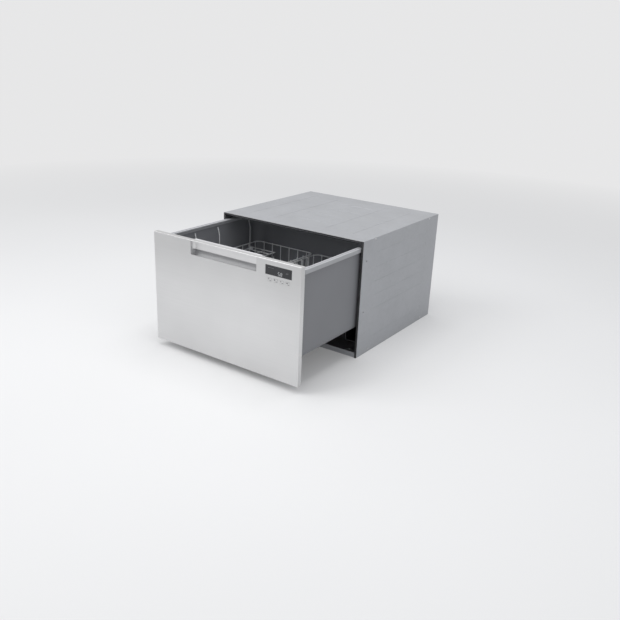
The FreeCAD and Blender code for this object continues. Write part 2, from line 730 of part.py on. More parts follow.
def handle_pocket():
    """The scooped insert that the fingers reach into."""
    depth = PANEL_FRONT + HANDLE_DEPTH
    outer = block(-HANDLE_HALF - 3, HANDLE_HALF + 3, PANEL_FRONT + SKIN, depth + 2,
                  HANDLE_LOW - 9, PANEL_TOP - SKIN)
    x = -HANDLE_HALF
    ceiling = PANEL_TOP - 2.0
    mouth_low = vec(x, PANEL_FRONT, HANDLE_LOW)
    lip = vec(x, PANEL_FRONT + 2.5, HANDLE_LOW)
    trough = vec(x, PANEL_FRONT + 12, HANDLE_LOW - 6.5)
    heel = vec(x, PANEL_FRONT + 21, HANDLE_LOW - 2)
    bend = vec(x, depth - 1.8, HANDLE_LOW + 4.5)
    wall = vec(x, depth, HANDLE_LOW + 12)
    top = vec(x, depth, ceiling)
    mouth_high = vec(x, PANEL_FRONT, ceiling)
    outline = [line(mouth_low, lip), arc(lip, trough, heel), arc(heel, bend, wall),
               line(wall, top), line(top, mouth_high), line(mouth_high, mouth_low)]
    scoop = extruded(outline, vec(2 * HANDLE_HALF, 0, 0))
    return outer.cut(scoop)


def grip_bar():
    """The pull bar across the pocket, its lower edge rounded for the fingertips."""
    front, back = GRIP_DEEP
    low = HANDLE_LOW + GRIP_RISE
    bar = block(-HANDLE_HALF, HANDLE_HALF, PANEL_FRONT + front, PANEL_FRONT + back,
                low, PANEL_TOP - 2.0)
    low_edges = [edge for edge in edges_along(bar, ALONG_X)
                 if edge.Vertexes[0].Z < low + 1]
    return bar.makeFillet(1.8, low_edges)


def display_lens():
    """The smoked window, flush in the skin and flanged behind it."""
    window = block(DISPLAY_X[0] + 0.1, DISPLAY_X[1] - 0.1, PANEL_FRONT + 0.2, PANEL_FRONT + SKIN,
                   DISPLAY_Z[0] + 0.1, DISPLAY_Z[1] - 0.1)
    flange = block(DISPLAY_X[0] - LENS_FLANGE, DISPLAY_X[1] + LENS_FLANGE,
                   PANEL_FRONT + SKIN, PANEL_FRONT + SKIN + LENS_THICK,
                   DISPLAY_Z[0] - LENS_FLANGE, DISPLAY_Z[1] + LENS_FLANGE)
    return joined([window, flange])


def control_board():
    """The circuit board with the readout and a switch behind each key."""
    face, back = PANEL_FRONT + BOARD_DEEP[0], PANEL_FRONT + BOARD_DEEP[1]
    low, high = BOARD_Z
    board = block(DISPLAY_X[0] - 8, DISPLAY_X[1] + 8, face, back, low, high)
    readout = block(DISPLAY_X[0] + 4, DISPLAY_X[1] - 4, PANEL_FRONT + READOUT_DEEP, face,
                    DISPLAY_Z[0] + 3, DISPLAY_Z[1] - 3)
    switches = [block(x - SWITCH_HALF, x + SWITCH_HALF, PANEL_FRONT + SWITCH_DEEP, face,
                      KEY_Z - SWITCH_HALF, KEY_Z + SWITCH_HALF) for x in KEY_X]
    posts = [disc_y(x, z, back, PANEL_BACK - PLATE, POST_R)
             for x in (DISPLAY_X[0] - 3, DISPLAY_X[1] + 3) for z in (low + 5, high - 5)]
    return joined([board, readout] + switches + posts)


def key(x):
    """One push key: a cap through the skin, a stop flange and a stem to its switch."""
    cap = key_block(x, 0.0, -KEY_PROUD, SKIN + KEY_GAP + 0.1)
    face = [edge for edge in cap.Edges
            if all(abs(v.Y - PANEL_FRONT + KEY_PROUD) < 0.01 for v in edge.Vertexes)]
    cap = cap.makeFillet(0.25, face)
    flange = key_block(x, 1.2, SKIN + KEY_GAP, SKIN + KEY_GAP + 1.2)
    stem_end, stem_r = KEY_STEM
    stem = disc_y(x, KEY_Z, PANEL_FRONT + SKIN + KEY_GAP, PANEL_FRONT + stem_end, stem_r)
    return joined([cap, flange, stem])


# ---- tub ---------------------------------------------------------------------
LEDGE_X = (12.0, 246.0)
LEDGE_DEEP = 16.0
DISPENSER = (62.0, 210.0, 211.0, 329.0)
DISPENSER_HOLE = (68.0, 204.0, 217.0, 323.0)
CUP = (74.0, 126.0, 230.0, 282.0)
GUIDE_Z = (219.6, 291.0)
HOOK_Z = (219.6, 290.0)
RINSE_X = 178.0
RINSE_Z = 309.0
RINSE_R = 11.4
RINSE_CAP_R = 14.0
SUMP_R = 95.0
LEDGE_WIDE = 22.0
LEDGE_HIGH = 10.0
FLANGE_HIGH = 4.0
FLANGE_CORNER = 9.0
SKIRT_THICK = 1.8


def tub():
    """The moulded tub: walls, floor, flanged rim with its skirt, and rack ledges."""
    flange_low = RIM_TOP - FLANGE_HIGH
    body = rounded_block(TUB_HALF, TUB_FRONT, TUB_REAR, TUB_UNDER, flange_low, 6)
    rim_front, rim_rear = TUB_FRONT - 4.0, TUB_REAR + 6.0
    rim = rounded_block(RIM_HALF, rim_front, rim_rear, flange_low, RIM_TOP, FLANGE_CORNER)
    top_edges = [edge for edge in rim.Edges
                 if all(abs(v.Z - RIM_TOP) < 0.01 for v in edge.Vertexes)]
    rim = rim.makeFillet(1.5, top_edges)
    skirt = rounded_block(RIM_HALF, rim_front, rim_rear,
                          RIM_TOP - RIM_SKIRT, flange_low, FLANGE_CORNER)
    skirt = skirt.cut(rounded_block(
        RIM_HALF - SKIRT_THICK, rim_front + SKIRT_THICK, rim_rear - SKIRT_THICK,
        RIM_TOP - RIM_SKIRT - 1, flange_low, FLANGE_CORNER - SKIRT_THICK))
    cavity = rounded_block(TUB_IN, TUB_FRONT + TUB_WALL, TUB_REAR - TUB_WALL,
                           TUB_FLOOR, flange_low, TUB_CORNER)
    floor_edges = [edge for edge in cavity.Edges
                   if all(abs(v.Z - TUB_FLOOR) < 0.01 for v in edge.Vertexes)]
    cavity = cavity.makeFillet(12.0, floor_edges)
    mouth = rounded_block(RIM_OPENING_HALF, rim_front + 14, rim_rear - 16,
                          flange_low - 1, RIM_TOP + 1, TUB_CORNER - 4)
    shell = joined([body, rim, skirt]).cut([cavity, mouth])
    ledges = []
    for x in LEDGE_X:
        front = block(x, x + LEDGE_WIDE, TUB_FRONT + TUB_WALL - 1,
                      TUB_FRONT + TUB_WALL + LEDGE_DEEP, RACK_FLOOR - LEDGE_HIGH, RACK_FLOOR)
        rear = block(x, x + LEDGE_WIDE, TUB_REAR - TUB_WALL - LEDGE_DEEP,
                     TUB_REAR - TUB_WALL + 1, RACK_FLOOR - LEDGE_HIGH, RACK_FLOOR)
        ledges += both_sides(front) + both_sides(rear)
    x0, x1, z0, z1 = DISPENSER_HOLE
    window = block(x0, x1, TUB_FRONT - 1, TUB_FRONT + TUB_WALL + 1, z0, z1)
    drain = disc(0, SUMP_Y, TUB_UNDER - 1, TUB_FLOOR + 1, SUMP_R)
    return joined([shell] + ledges).cut([window, drain])


def dispenser_body():
    """The detergent tray in the front wall, with guides for its sliding lid."""
    x0, x1, z0, z1 = DISPENSER
    face = TUB_FRONT + TUB_WALL
    flange = rounded(block(x0, x1, face, face + 2.0, z0, z1), ALONG_Y, 8)
    x2, x3, z2, z3 = DISPENSER_HOLE
    case = block(x2 + 0.2, x3 - 0.2, PANEL_BACK + 1.5, face, z2 + 0.2, z3 - 0.2)
    guides = [block(x0 + 4, x1 - 4, face + 2, face + 5.4, z, z + 2.4) for z in GUIDE_Z]
    hooks = [block(x0 + 4, x1 - 4, face + 4.4, face + 5.4, z, z + 3.4) for z in HOOK_Z]
    body = joined([flange, case] + guides + hooks)
    cup = rounded(block(CUP[0], CUP[1], PANEL_BACK + 4, face + 3, CUP[2], CUP[3]), ALONG_Y, 9)
    tank = disc_y(RINSE_X, RINSE_Z, PANEL_BACK + 4, face + 3, RINSE_R)
    return body.cut([cup, tank])


def dispenser_lid():
    """The sliding lid over the detergent cup, with a ribbed thumb grip."""
    face = TUB_FRONT + TUB_WALL
    x0 = DISPENSER[0] + 7
    plate = block(x0, x0 + 62, face + 2.3, face + 4.0, 222.4, 290.6)
    pad = rounded(block(x0 + 4, x0 + 58, face + 4.0, face + 5.6, 226, 287), ALONG_Y, 5)
    ribs = [block(x0 + 44 + 4 * i, x0 + 45.6 + 4 * i, face + 5.6, face + 6.4, 240, 273)
            for i in range(3)]
    return joined([plate, pad] + ribs)


def rinse_cap():
    """The twist cap of the rinse-aid tank, with a finger bar."""
    face = TUB_FRONT + TUB_WALL
    plug = disc_y(RINSE_X, RINSE_Z, face - 6, face + 2.2, RINSE_R - ROUND_GAP)
    cap = disc_y(RINSE_X, RINSE_Z, face + 2.2, face + 4.6, RINSE_CAP_R)
    bar = block(RINSE_X - RINSE_CAP_R + 3, RINSE_X + RINSE_CAP_R - 3, face + 4.6, face + 7.4,
                RINSE_Z - 2, RINSE_Z + 2)
    return joined([plug, cap, bar])


# ---- under the tub -----------------------------------------------------------
SUMP_LOW = 60.0
MOTOR_LOW = 22.0
SHAFT_R = 5.0
FILTER = (46.0, SUMP_Y + 40.0)
FILTER_R = 26.0
PLATE_TOP = TUB_FLOOR + 2.0
SPIGOT_R = 12.0
SPIGOT_TOP = 135.0
PUMP = (-170.0, 190.0)
PUMP_Z = (52.0, 100.0)
PUMP_R = 24.0
PUMP_CAP = (46.0, 18.0)
PUMP_ELBOW_R = 9.0
PUMP_STUB = 14.0
PUMP_STUB_R = 8.0
STRAP_Y = (-215.0, 110.0)
STRAP_HALF = 210.0
STRAP_WIDE = 30.0
STRAP_LIP = 14.0
SHELF_IN = 205.0
BOWL_R = 92.0
BOWL_WALL = 4.0
BOWL_FLANGE_R = 112.0
HOSE_Y = SUMP_Y + 30.0
HOSE_Z = 80.0
HOSE_R = 11.0
HOSE_BORE_R = 8.0
HOSE_BEND = 36.0
HOSE_START = -118.0
HEATER = (90.0, 52.0, 2.5)
MOTOR_R = 46.0
MOTOR_FLANGE_R = 60.0
FIN_R = 50.0
FIN_Z = (26.0, 33.0, 40.0)
SHAFT_Z = (42.0, 76.0)
VANE_Z = (64.0, 66.5)
VANE_R = 38.0
VANE_COUNT = 6
PLATE_R = 106.0
PLATE_LIP = (91.5, 88.5, 8.0)
PLATE_ROWS = (40, 50, 60, 70, 80)
PIERCING_R = 1.9
BOSS_R = 24.0
BOSS_HIGH = 12.0
FILTER_LOW = 80.0
FILTER_SLOTS = 12
GRIP_HALF = 20.0
ARM_R = 215.0
ARM_LOW = 129.0
ARM_THICK = 12.0
HUB_R = 22.0
JET_X = (55.0, 90.0, 125.0, 160.0, 190.0)
JET_R = 2.2


def cradle():
    """The folded steel frame that carries the tub between the two rails."""
    inner_face = RAIL_FACE - INNER_FACE
    side = block(inner_face - SHEET, inner_face, TUB_FRONT, TUB_REAR,
                 RAIL_BOTTOM + 2, TUB_UNDER - SHEET)
    shelf = block(SHELF_IN, inner_face, TUB_FRONT, TUB_REAR, TUB_UNDER - SHEET, TUB_UNDER)
    straps = [block(-STRAP_HALF, STRAP_HALF, y, y + STRAP_WIDE, TUB_UNDER - SHEET, TUB_UNDER)
              for y in STRAP_Y]
    lips = [block(-STRAP_HALF, STRAP_HALF, y, y + SHEET, TUB_UNDER - STRAP_LIP, TUB_UNDER - SHEET)
            for y in STRAP_Y]
    return joined(both_sides(side) + both_sides(shelf) + straps + lips)


def sump():
    """The bowl under the tub floor that collects the wash water."""
    outer = BOWL_R + BOWL_WALL
    flange = ring(0, SUMP_Y, TUB_UNDER - 3, TUB_UNDER, BOWL_FLANGE_R, BOWL_R)
    wall = ring(0, SUMP_Y, SUMP_LOW, TUB_UNDER - 3, outer, BOWL_R)
    floor = disc(0, SUMP_Y, SUMP_LOW - 3, SUMP_LOW, outer)
    outlet = rod(vec(2 - BOWL_R, HOSE_Y, HOSE_Z), vec(HOSE_START, HOSE_Y, HOSE_Z), HOSE_R)
    bowl = joined([flange, wall, floor, outlet])
    bore = rod(vec(12 - BOWL_R, HOSE_Y, HOSE_Z), vec(HOSE_START - 2, HOSE_Y, HOSE_Z), HOSE_BORE_R)
    return bowl.cut([disc(0, SUMP_Y, SUMP_LOW - 4, SUMP_LOW + 1, SHAFT_R + FIT), bore])


def drain_hose():
    """The moulded hose from the sump to the drain pump."""
    points = [vec(HOSE_START, HOSE_Y, HOSE_Z), vec(PUMP[0], HOSE_Y, HOSE_Z),
              vec(PUMP[0], PUMP[1] - PUMP_R - 2, HOSE_Z)]
    bends = [HOSE_BEND]
    return bent_rod(points, bends, HOSE_R).cut(bent_rod(points, bends, HOSE_BORE_R))


def heater_plate():
    """The ring heater lying on the sump floor."""
    outer, inner, thick = HEATER
    return ring(0, SUMP_Y, SUMP_LOW, SUMP_LOW + thick, outer, inner)


def wash_motor():
    """The motor housing hung under the sump, with cooling fins."""
    top = SUMP_LOW - 3
    body = disc(0, SUMP_Y, MOTOR_LOW, top, MOTOR_R)
    fins = [disc(0, SUMP_Y, z, z + 3, FIN_R) for z in FIN_Z]
    flange = disc(0, SUMP_Y, top - 4, top, MOTOR_FLANGE_R)
    motor = joined([body, flange] + fins)
    return motor.cut(disc(0, SUMP_Y, SHAFT_Z[0] - 2, top + 1, SHAFT_R + ROUND_GAP))


def wash_impeller():
    """The shaft and six-vaned impeller that throws water up to the arm."""
    low, top = SHAFT_Z
    shaft = disc(0, SUMP_Y, low, top, SHAFT_R)
    base = disc(0, SUMP_Y, VANE_Z[0], VANE_Z[1], VANE_R)
    vane = block(SHAFT_R - 1, VANE_R - 1, SUMP_Y - 1, SUMP_Y + 1, VANE_Z[1], top)
    vanes = []
    for step in range(VANE_COUNT):
        turned = vane.copy()
        turned.rotate(vec(0, SUMP_Y, 0), UP, 360 * step / VANE_COUNT)
        vanes.append(turned)
    return joined([shaft, base] + vanes)


def drain_pump():
    """The small pump that empties the sump, with the elbow the service loop ends on."""
    x, y = PUMP
    low, high = PUMP_Z
    cap_low, cap_r = PUMP_CAP
    body = disc(x, y, low, high, PUMP_R)
    cap = disc(x, y, cap_low, low, cap_r)
    neck = disc_y(x, HOSE_Z, y - PUMP_R - 2, y - PUMP_R + 9, HOSE_R)
    foot = block(x - 16, x + 16, y - 6, y + 22, high, TUB_UNDER)
    elbow = disc(x, y, LOOP_Z - PUMP_ELBOW_R - 0.5, cap_low, PUMP_ELBOW_R)
    stub = disc_y(x, LOOP_Z, y - PUMP_STUB, y, PUMP_STUB_R)
    return joined([body, cap, neck, foot, elbow, stub])


def filter_plate():
    """The pierced floor plate with the spigot that carries the spray arm."""
    lip_outer, lip_inner, lip_deep = PLATE_LIP
    plate = disc(0, SUMP_Y, TUB_FLOOR, PLATE_TOP, PLATE_R)
    lip = ring(0, SUMP_Y, TUB_FLOOR - lip_deep, TUB_FLOOR, lip_outer, lip_inner)
    boss = Part.makeCone(BOSS_R, SPIGOT_R, BOSS_HIGH, vec(0, SUMP_Y, PLATE_TOP), UP)
    spigot = disc(0, SUMP_Y, PLATE_TOP, SPIGOT_TOP, SPIGOT_R)
    body = joined([plate, lip, boss, spigot])
    holes = [disc(FILTER[0], FILTER[1], TUB_FLOOR - 1, PLATE_TOP + 1, FILTER_R + ROUND_GAP)]
    for row, radius in enumerate(PLATE_ROWS):
        count = int(radius / 2.5)
        for step in range(count):
            angle = 2 * math.pi * (step + row / 2) / count
            x = radius * math.cos(angle)
            y = SUMP_Y + radius * math.sin(angle)
            if math.hypot(x - FILTER[0], y - FILTER[1]) > FILTER_R + 6:
                holes.append(disc(x, y, TUB_FLOOR - 1, PLATE_TOP + 1, PIERCING_R))
    return body.cut(holes)


def drain_filter():
    """The lift-out cylinder filter, locked by a quarter turn of its grip."""
    x, y = FILTER
    tube = disc(x, y, FILTER_LOW, PLATE_TOP + 1.5, FILTER_R)
    hollow = disc(x, y, FILTER_LOW + 2, PLATE_TOP - 1, FILTER_R - 2)
    rim = disc(x, y, PLATE_TOP + 0.4, PLATE_TOP + 2.4, FILTER_R + 4)
    grip = block(x - GRIP_HALF, x + GRIP_HALF, y - 2.5, y + 2.5, PLATE_TOP + 2.4, PLATE_TOP + 7.5)
    slots = []
    for step in range(FILTER_SLOTS):
        slot = block(x + FILTER_R - 4, x + FILTER_R + 1, y - 2, y + 2, FILTER_LOW + 6, TUB_FLOOR - 5)
        slot.rotate(vec(x, y, 0), UP, 360 * step / FILTER_SLOTS)
        slots.append(slot)
    return joined([tube, rim, grip]).cut([hollow] + slots)


def spray_arm():
    """The two-bladed wash arm, turning freely on its spigot."""
    root, tip = 28.0, 17.0
    high = ARM_LOW + ARM_THICK
    blades = []
    for sign in (1, -1):
        a = vec(0, SUMP_Y - root, ARM_LOW)
        b = vec(sign * (ARM_R - tip), SUMP_Y - tip, ARM_LOW)
        c = vec(sign * ARM_R, SUMP_Y, ARM_LOW)
        d = vec(sign * (ARM_R - tip), SUMP_Y + tip, ARM_LOW)
        e = vec(0, SUMP_Y + root, ARM_LOW)
        blades.append(extruded([line(a, b), arc(b, c, d), line(d, e), line(e, a)],
                               vec(0, 0, ARM_THICK)))
    blade = joined(blades)
    top = [edge for edge in blade.Edges if all(abs(v.Z - high) < 0.01 for v in edge.Vertexes)]
    blade = blade.makeChamfer(3.0, top)
    hub = disc(0, SUMP_Y, ARM_LOW - 3, high + 4, HUB_R)
    arm = joined([blade, hub])
    bore = disc(0, SUMP_Y, ARM_LOW - 4, SPIGOT_TOP + 1, SPIGOT_R + FIT)
    jets = []
    for reach in JET_X:
        for sign, side in ((1, 6), (-1, -6)):
            jets.append(disc(sign * reach, SUMP_Y + side, high - 5, high + 1, JET_R))
    return arm.cut([bore] + jets)


# ---- racks -------------------------------------------------------------------
RACK_BEND = 14.0
CROSS_BEND = 9.0
LONG_PITCH = 40.0
TINE_PITCH = 20.0
LOW_WIRE_Z = RACK_FLOOR + 2 * FRAME_WIRE + WIRE
HIGH_WIRE_Z = LOW_WIRE_Z + 2 * WIRE
LEAN_Z = 342.0
LOOP_BEND = 22.0
BASKET = (14.0, 68.0, -226.0, -108.0)
BASKET_TOP = 256.0
BASKET_WALL = 2.0
BASKET_SLOT = (6.0, 7.0, 10.0)
BASKET_PITCH = 12
BASKET_ROWS = range(172, 236, 16)
BASKET_SLOT_X = (8.0, 19.0, 30.0)
HANDLE_RISE = 30.0


def spread(start, end, pitch):
    """Evenly spaced places between two ends, at about the given pitch."""
    count = max(1, round((end - start) / pitch))
    return [start + (end - start) * step / count for step in range(count + 1)]


CROSS_Y = spread(RACK_FRONT + 22, RACK_REAR - 22, 38.0)
CUP_CLIP_Y = (CROSS_Y[1], CROSS_Y[6], CROSS_Y[10])
CLIP_Y = (-206.0, -26.0, 174.0)
FOLD_Y = (-214.0, 182.0)
FOLD_PIVOT_R = 2.0
CUP_Y = (-200.0, 164.0)
CUP_PIVOT_R = 2.5
CUP_RIB_PITCH = 30.0


def cross_wires():
    """U-shaped wires across the rack, up to the loop on both sides."""
    inner = RACK_INNER + FRAME_WIRE * 2 + WIRE
    outer = RACK_OUTER - FRAME_WIRE * 2 - WIRE
    wires = []
    for y in CROSS_Y:
        points = [
            vec(inner, y, RACK_LOOP_Z + 3), vec(inner, y, LOW_WIRE_Z),
            vec(outer, y, LOW_WIRE_Z), vec(outer, y, RACK_LOOP_Z + 3),
        ]
        wires += wire_lengths(points, [CROSS_BEND] * 2, WIRE)
    return wires


def long_wires():
    """U-shaped wires along the rack, front wall to rear wall."""
    front = RACK_FRONT + FRAME_WIRE + WIRE
    rear = RACK_REAR - FRAME_WIRE - WIRE
    wires = []
    for x in spread(FIXED_TINE_X - 40, FIXED_TINE_X + 160, LONG_PITCH):
        points = [
            vec(x, front, RACK_LOOP_Z + 3), vec(x, front, HIGH_WIRE_Z),
            vec(x, rear, HIGH_WIRE_Z), vec(x, rear, RACK_LOOP_Z + 3),
        ]
        wires += wire_lengths(points, [RACK_BEND] * 2, WIRE)
    return wires


def tine_clip(x, y, z, bore):
    """A snap clip that holds a folding row's pivot down on the rack floor."""
    low = HIGH_WIRE_Z + WIRE
    shape = rounded(block(x - 5, x + 5, y - 4, y + 4, low, z + 5), ALONG_Y, 1.5)
    return shape.cut(disc_y(x, z, y - 5, y + 5, bore))


def tine(x, y, foot):
    """One tine of the racks, standing on its foot and rounded at its tip."""
    tip = TINE_TOP - 4
    return rod(vec(x, y, foot), vec(x, y, tip), WIRE).fuse(Part.makeSphere(WIRE, vec(x, y, tip)))


def tall_uprights():
    """The few uprights on the outer side that stand above the loop and lean to the wall."""
    x = RACK_OUTER - FRAME_WIRE * 2 - WIRE
    wires = []
    for y in TALL_Y:
        points = [
            vec(x, y, RACK_FLOOR + 1), vec(x, y, LEAN_Z), vec(RACK_OUTER + 1, y, RACK_TOP),
        ]
        wires += wire_lengths(points, [CROSS_BEND], WIRE)
    return wires


def rack():
    """One rack half on the right: loops, wires both ways, tines and clips."""
    loop_out = RACK_OUTER - FRAME_WIRE
    loop_in = RACK_INNER + FRAME_WIRE
    solids = []
    for z in (RACK_FLOOR + FRAME_WIRE, RACK_LOOP_Z):
        solids += wire_loop(loop_in, loop_out, RACK_FRONT, RACK_REAR, z, LOOP_BEND, FRAME_WIRE)
    solids += cross_wires() + long_wires() + tall_uprights()
    for y in spread(RACK_FRONT + 26, RACK_REAR - 26, TINE_PITCH):
        solids.append(tine(FIXED_TINE_X, y, HIGH_WIRE_Z + WIRE))
    for y in CLIP_Y:
        solids.append(tine_clip(FOLD_HINGE[0], y, FOLD_HINGE[1], FOLD_PIVOT_R + FIT))
    x, z = CUP_HINGE
    for y in CUP_CLIP_Y:
        clip = rounded(block(x - 5, RACK_OUTER - 2 * FRAME_WIRE - 2 * WIRE, y - 5, y + 5,
                             z - 6, z + 6), ALONG_Y, 2.0)
        solids.append(clip.cut(disc_y(x, z, y - 6, y + 6, CUP_PIVOT_R + FIT)))
    return group(solids)


def tine_row():
    """The folding row: a pivot wire and its tines, standing up."""
    x, z = FOLD_HINGE
    pivot = disc_y(x, z, FOLD_Y[0], FOLD_Y[1], FOLD_PIVOT_R)
    places = spread(FOLD_Y[0] + 18, FOLD_Y[1] - 18, TINE_PITCH)
    return group([pivot] + [tine(x, y, z + FOLD_PIVOT_R) for y in places])


def cup_rack():
    """The fold-up cup shelf on the right: a pivot wire, ribs and two rails."""
    x, z = CUP_HINGE
    y0, y1 = CUP_Y
    edge = x - CUP_REACH
    pivot = disc_y(x, z, y0, y1, CUP_PIVOT_R)
    rail = disc_y(edge, z, y0, y1, FRAME_WIRE)
    brace = disc_y((x + edge) / 2, z - 2 * WIRE, y0 + 6, y1 - 6, WIRE)
    ribs = [rod(vec(x - CUP_PIVOT_R, y, z), vec(edge + FRAME_WIRE, y, z), WIRE)
            for y in spread(y0 + FRAME_WIRE, y1 - FRAME_WIRE, CUP_RIB_PITCH)]
    return group([pivot, rail, brace] + ribs)


def cutlery_basket():
    """An open moulded basket with slotted walls, a divider and a handle."""
    x0, x1, y0, y1 = BASKET
    wall = BASKET_WALL
    wide, long, tall = BASKET_SLOT
    low = HIGH_WIRE_Z + WIRE
    high = BASKET_TOP
    places = range(int(y0) + BASKET_PITCH, int(y1) - BASKET_PITCH, BASKET_PITCH)
    shell = rounded(block(x0, x1, y0, y1, low, high), UP, 6).cut(
        rounded(block(x0 + wall, x1 - wall, y0 + wall, y1 - wall, low + wall, high + 1), UP, 4))
    slots = []
    for z in BASKET_ROWS:
        for y in places:
            slots.append(block(x0 - 1, x1 + 1, y, y + long, z, z + tall))
        for x in BASKET_SLOT_X:
            slots.append(block(x0 + x, x0 + x + wide, y0 - 1, y1 + 1, z, z + tall))
    drains = [block(x0 + x, x0 + x + wide, y, y + long, low - 1, low + wall + 1)
              for x in BASKET_SLOT_X for y in places]
    middle = (y0 + y1) / 2
    divider = block(x0 + 1, x1 - 1, middle - 1, middle + 1, low + 1, high - 6)
    shell = shell.cut(slots + drains)
    centre = (x0 + x1) / 2
    top = high + HANDLE_RISE
    posts = [block(centre - 6, centre + 6, y, y + 2.5, high - 20, top - 4)
             for y in (y0 + 1, y1 - 3.5)]
    bridge = rounded(block(centre - 8, centre + 8, y0 + 1, y1 - 1, top - 8, top), ALONG_Y, 3)
    return joined([shell, divider, bridge] + posts)


# ---- service loop ------------------------------------------------------------
def service_loop():
    """The corrugated conduit for hoses and wires, in a U on its raised bed."""
    pump_x = PUMP[0]
    pump_y = PUMP[1] - OPEN_AT_REST - PUMP_STUB
    points = [
        vec(LOOP_FIXED_X, LOOP_FIXED_Y, LOOP_Z), vec(LOOP_FIXED_X, LOOP_TURN_Y, LOOP_Z),
        vec(pump_x, LOOP_TURN_Y, LOOP_Z), vec(pump_x, pump_y, LOOP_Z),
    ]
    return bent_rod(points, [LOOP_TURN] * 2, LOOP_R)


# ---- write every node --------------------------------------------------------
def write_pairs(name, shape, moved_out=0.0):
    """Write a right-hand piece and its mirror image on the left."""
    save(name + "_right", shape, moved_out)
    save(name + "_left", mirrored(shape), moved_out)


def write_chassis():
    """The nodes that stay in the cabinet."""
    save("base_pan", base_pan())
    write_pairs("side_panel", side_panel())
    save("back_panel", back_panel())
    save("top_panel", top_panel())
    save("edge_trim", edge_trim())
    save("chassis_screws", chassis_screws())
    write_pairs("outer_rail", outer_rail())
    save("lid_actuators", lid_actuators())
    save("inlet_valve", inlet_valve())
    save("drain_outlet", drain_outlet())
    save("mains_gland", mains_gland())
    save("service_loop", service_loop())


def write_moving_rails():
    """The rail members and ball cages that follow the drawer part of the way."""
    write_pairs("middle_rail", middle_rail(), OPEN_AT_REST * 0.5)
    save("outer_ball_cages", outer_cages(), OPEN_AT_REST * 0.25)
    save("inner_ball_cages", inner_cages(), OPEN_AT_REST * 0.75)


def write_lid():
    """The tub lid and its linkage."""
    save("lid_panel", lid_panel())
    save("lid_seal", lid_seal())
    for place, pivot_y in zip(("front", "rear"), CRANK_Y):
        write_pairs("lid_crank_" + place, crank(pivot_y))
    write_pairs("lid_bar", lid_bar())


def write_drawer():
    """The front, tub, pumps and washing pieces that slide out."""
    out = OPEN_AT_REST
    save("front_skin", front_skin(), out)
    save("front_carrier", front_carrier(), out)
    save("front_screws", front_screws(), out)
    save("handle_pocket", handle_pocket(), out)
    save("grip_bar", grip_bar(), out)
    save("display_lens", display_lens(), out)
    save("control_board", control_board(), out)
    for name, x in zip(("power", "program", "option", "start"), KEY_X):
        save("key_" + name, key(x), out)
    save("tub", tub(), out)
    save("tub_cradle", cradle(), out)
    write_pairs("inner_rail", inner_rail(), out)
    save("sump", sump(), out)
    save("drain_hose", drain_hose(), out)
    save("heater_plate", heater_plate(), out)
    save("wash_motor", wash_motor(), out)
    save("wash_impeller", wash_impeller(), out)
    save("drain_pump", drain_pump(), out)
    save("filter_plate", filter_plate(), out)
    save("drain_filter", drain_filter(), out)
    save("spray_arm", spray_arm(), out)
    save("dispenser_body", dispenser_body(), out)
    save("dispenser_lid", dispenser_lid(), out)
    save("rinse_cap", rinse_cap(), out)


def write_racks():
    """The two rack halves with their folding pieces and the basket."""
    out = OPEN_AT_REST
    write_pairs("rack", rack(), out)
    write_pairs("tine_row", tine_row(), out)
    write_pairs("cup_rack", cup_rack(), out)
    save("cutlery_basket", cutlery_basket(), out)


os.makedirs("parts", exist_ok=True)
write_chassis()
write_moving_rails()
write_lid()
write_drawer()
write_racks()
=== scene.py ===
"""A dishwasher drawer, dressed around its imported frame. Every size is in metres."""

import logging
import math
from contextlib import contextmanager
from dataclasses import dataclass
from enum import Enum
from typing import Any, Callable, Iterator, Sequence

import bmesh
import bpy
from mathutils import Matrix, Vector


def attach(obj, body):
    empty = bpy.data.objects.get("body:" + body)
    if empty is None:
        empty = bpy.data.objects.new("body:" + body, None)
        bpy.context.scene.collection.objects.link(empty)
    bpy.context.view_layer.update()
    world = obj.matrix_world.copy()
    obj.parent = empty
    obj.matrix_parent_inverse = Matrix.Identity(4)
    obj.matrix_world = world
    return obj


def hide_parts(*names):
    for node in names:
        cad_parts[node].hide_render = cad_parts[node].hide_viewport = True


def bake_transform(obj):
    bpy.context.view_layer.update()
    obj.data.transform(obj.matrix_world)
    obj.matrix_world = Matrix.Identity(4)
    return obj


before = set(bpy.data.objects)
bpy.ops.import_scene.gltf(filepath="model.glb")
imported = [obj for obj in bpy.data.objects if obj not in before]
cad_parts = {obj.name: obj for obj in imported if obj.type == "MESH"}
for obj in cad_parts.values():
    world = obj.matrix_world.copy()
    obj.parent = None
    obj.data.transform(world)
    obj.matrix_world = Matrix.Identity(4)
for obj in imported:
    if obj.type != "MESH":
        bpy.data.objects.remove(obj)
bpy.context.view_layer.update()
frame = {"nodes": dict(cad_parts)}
LOG = logging.getLogger("drawer")

Point = tuple[float, float, float]
Colour = tuple[float, float, float]
Piece = bpy.types.Object
Paint = bpy.types.Material
Test = Callable[[Vector, Vector], bool]
Outline = Sequence[tuple[float, float]]
Span = tuple[float, float, float, float]

OUT = 0.3243
PANEL_FACE = -0.2965 - OUT
PANEL_BACK = -0.2789 - OUT
TUB_FRONT = -0.262 - OUT
TUB_REAR = 0.226 - OUT
TUB_INSIDE_FACE = TUB_FRONT + 0.0035
SUMP_Y = -0.018 - OUT
WALL_INSIDE = 0.2973
NEAR = 1e-5
PAST = 0.01
BURR = 0.00022
NOWHERE: Point = (0.0, 0.0, 0.0)
EVEN: Point = (1.0, 1.0, 1.0)
CLOUD = 0.05


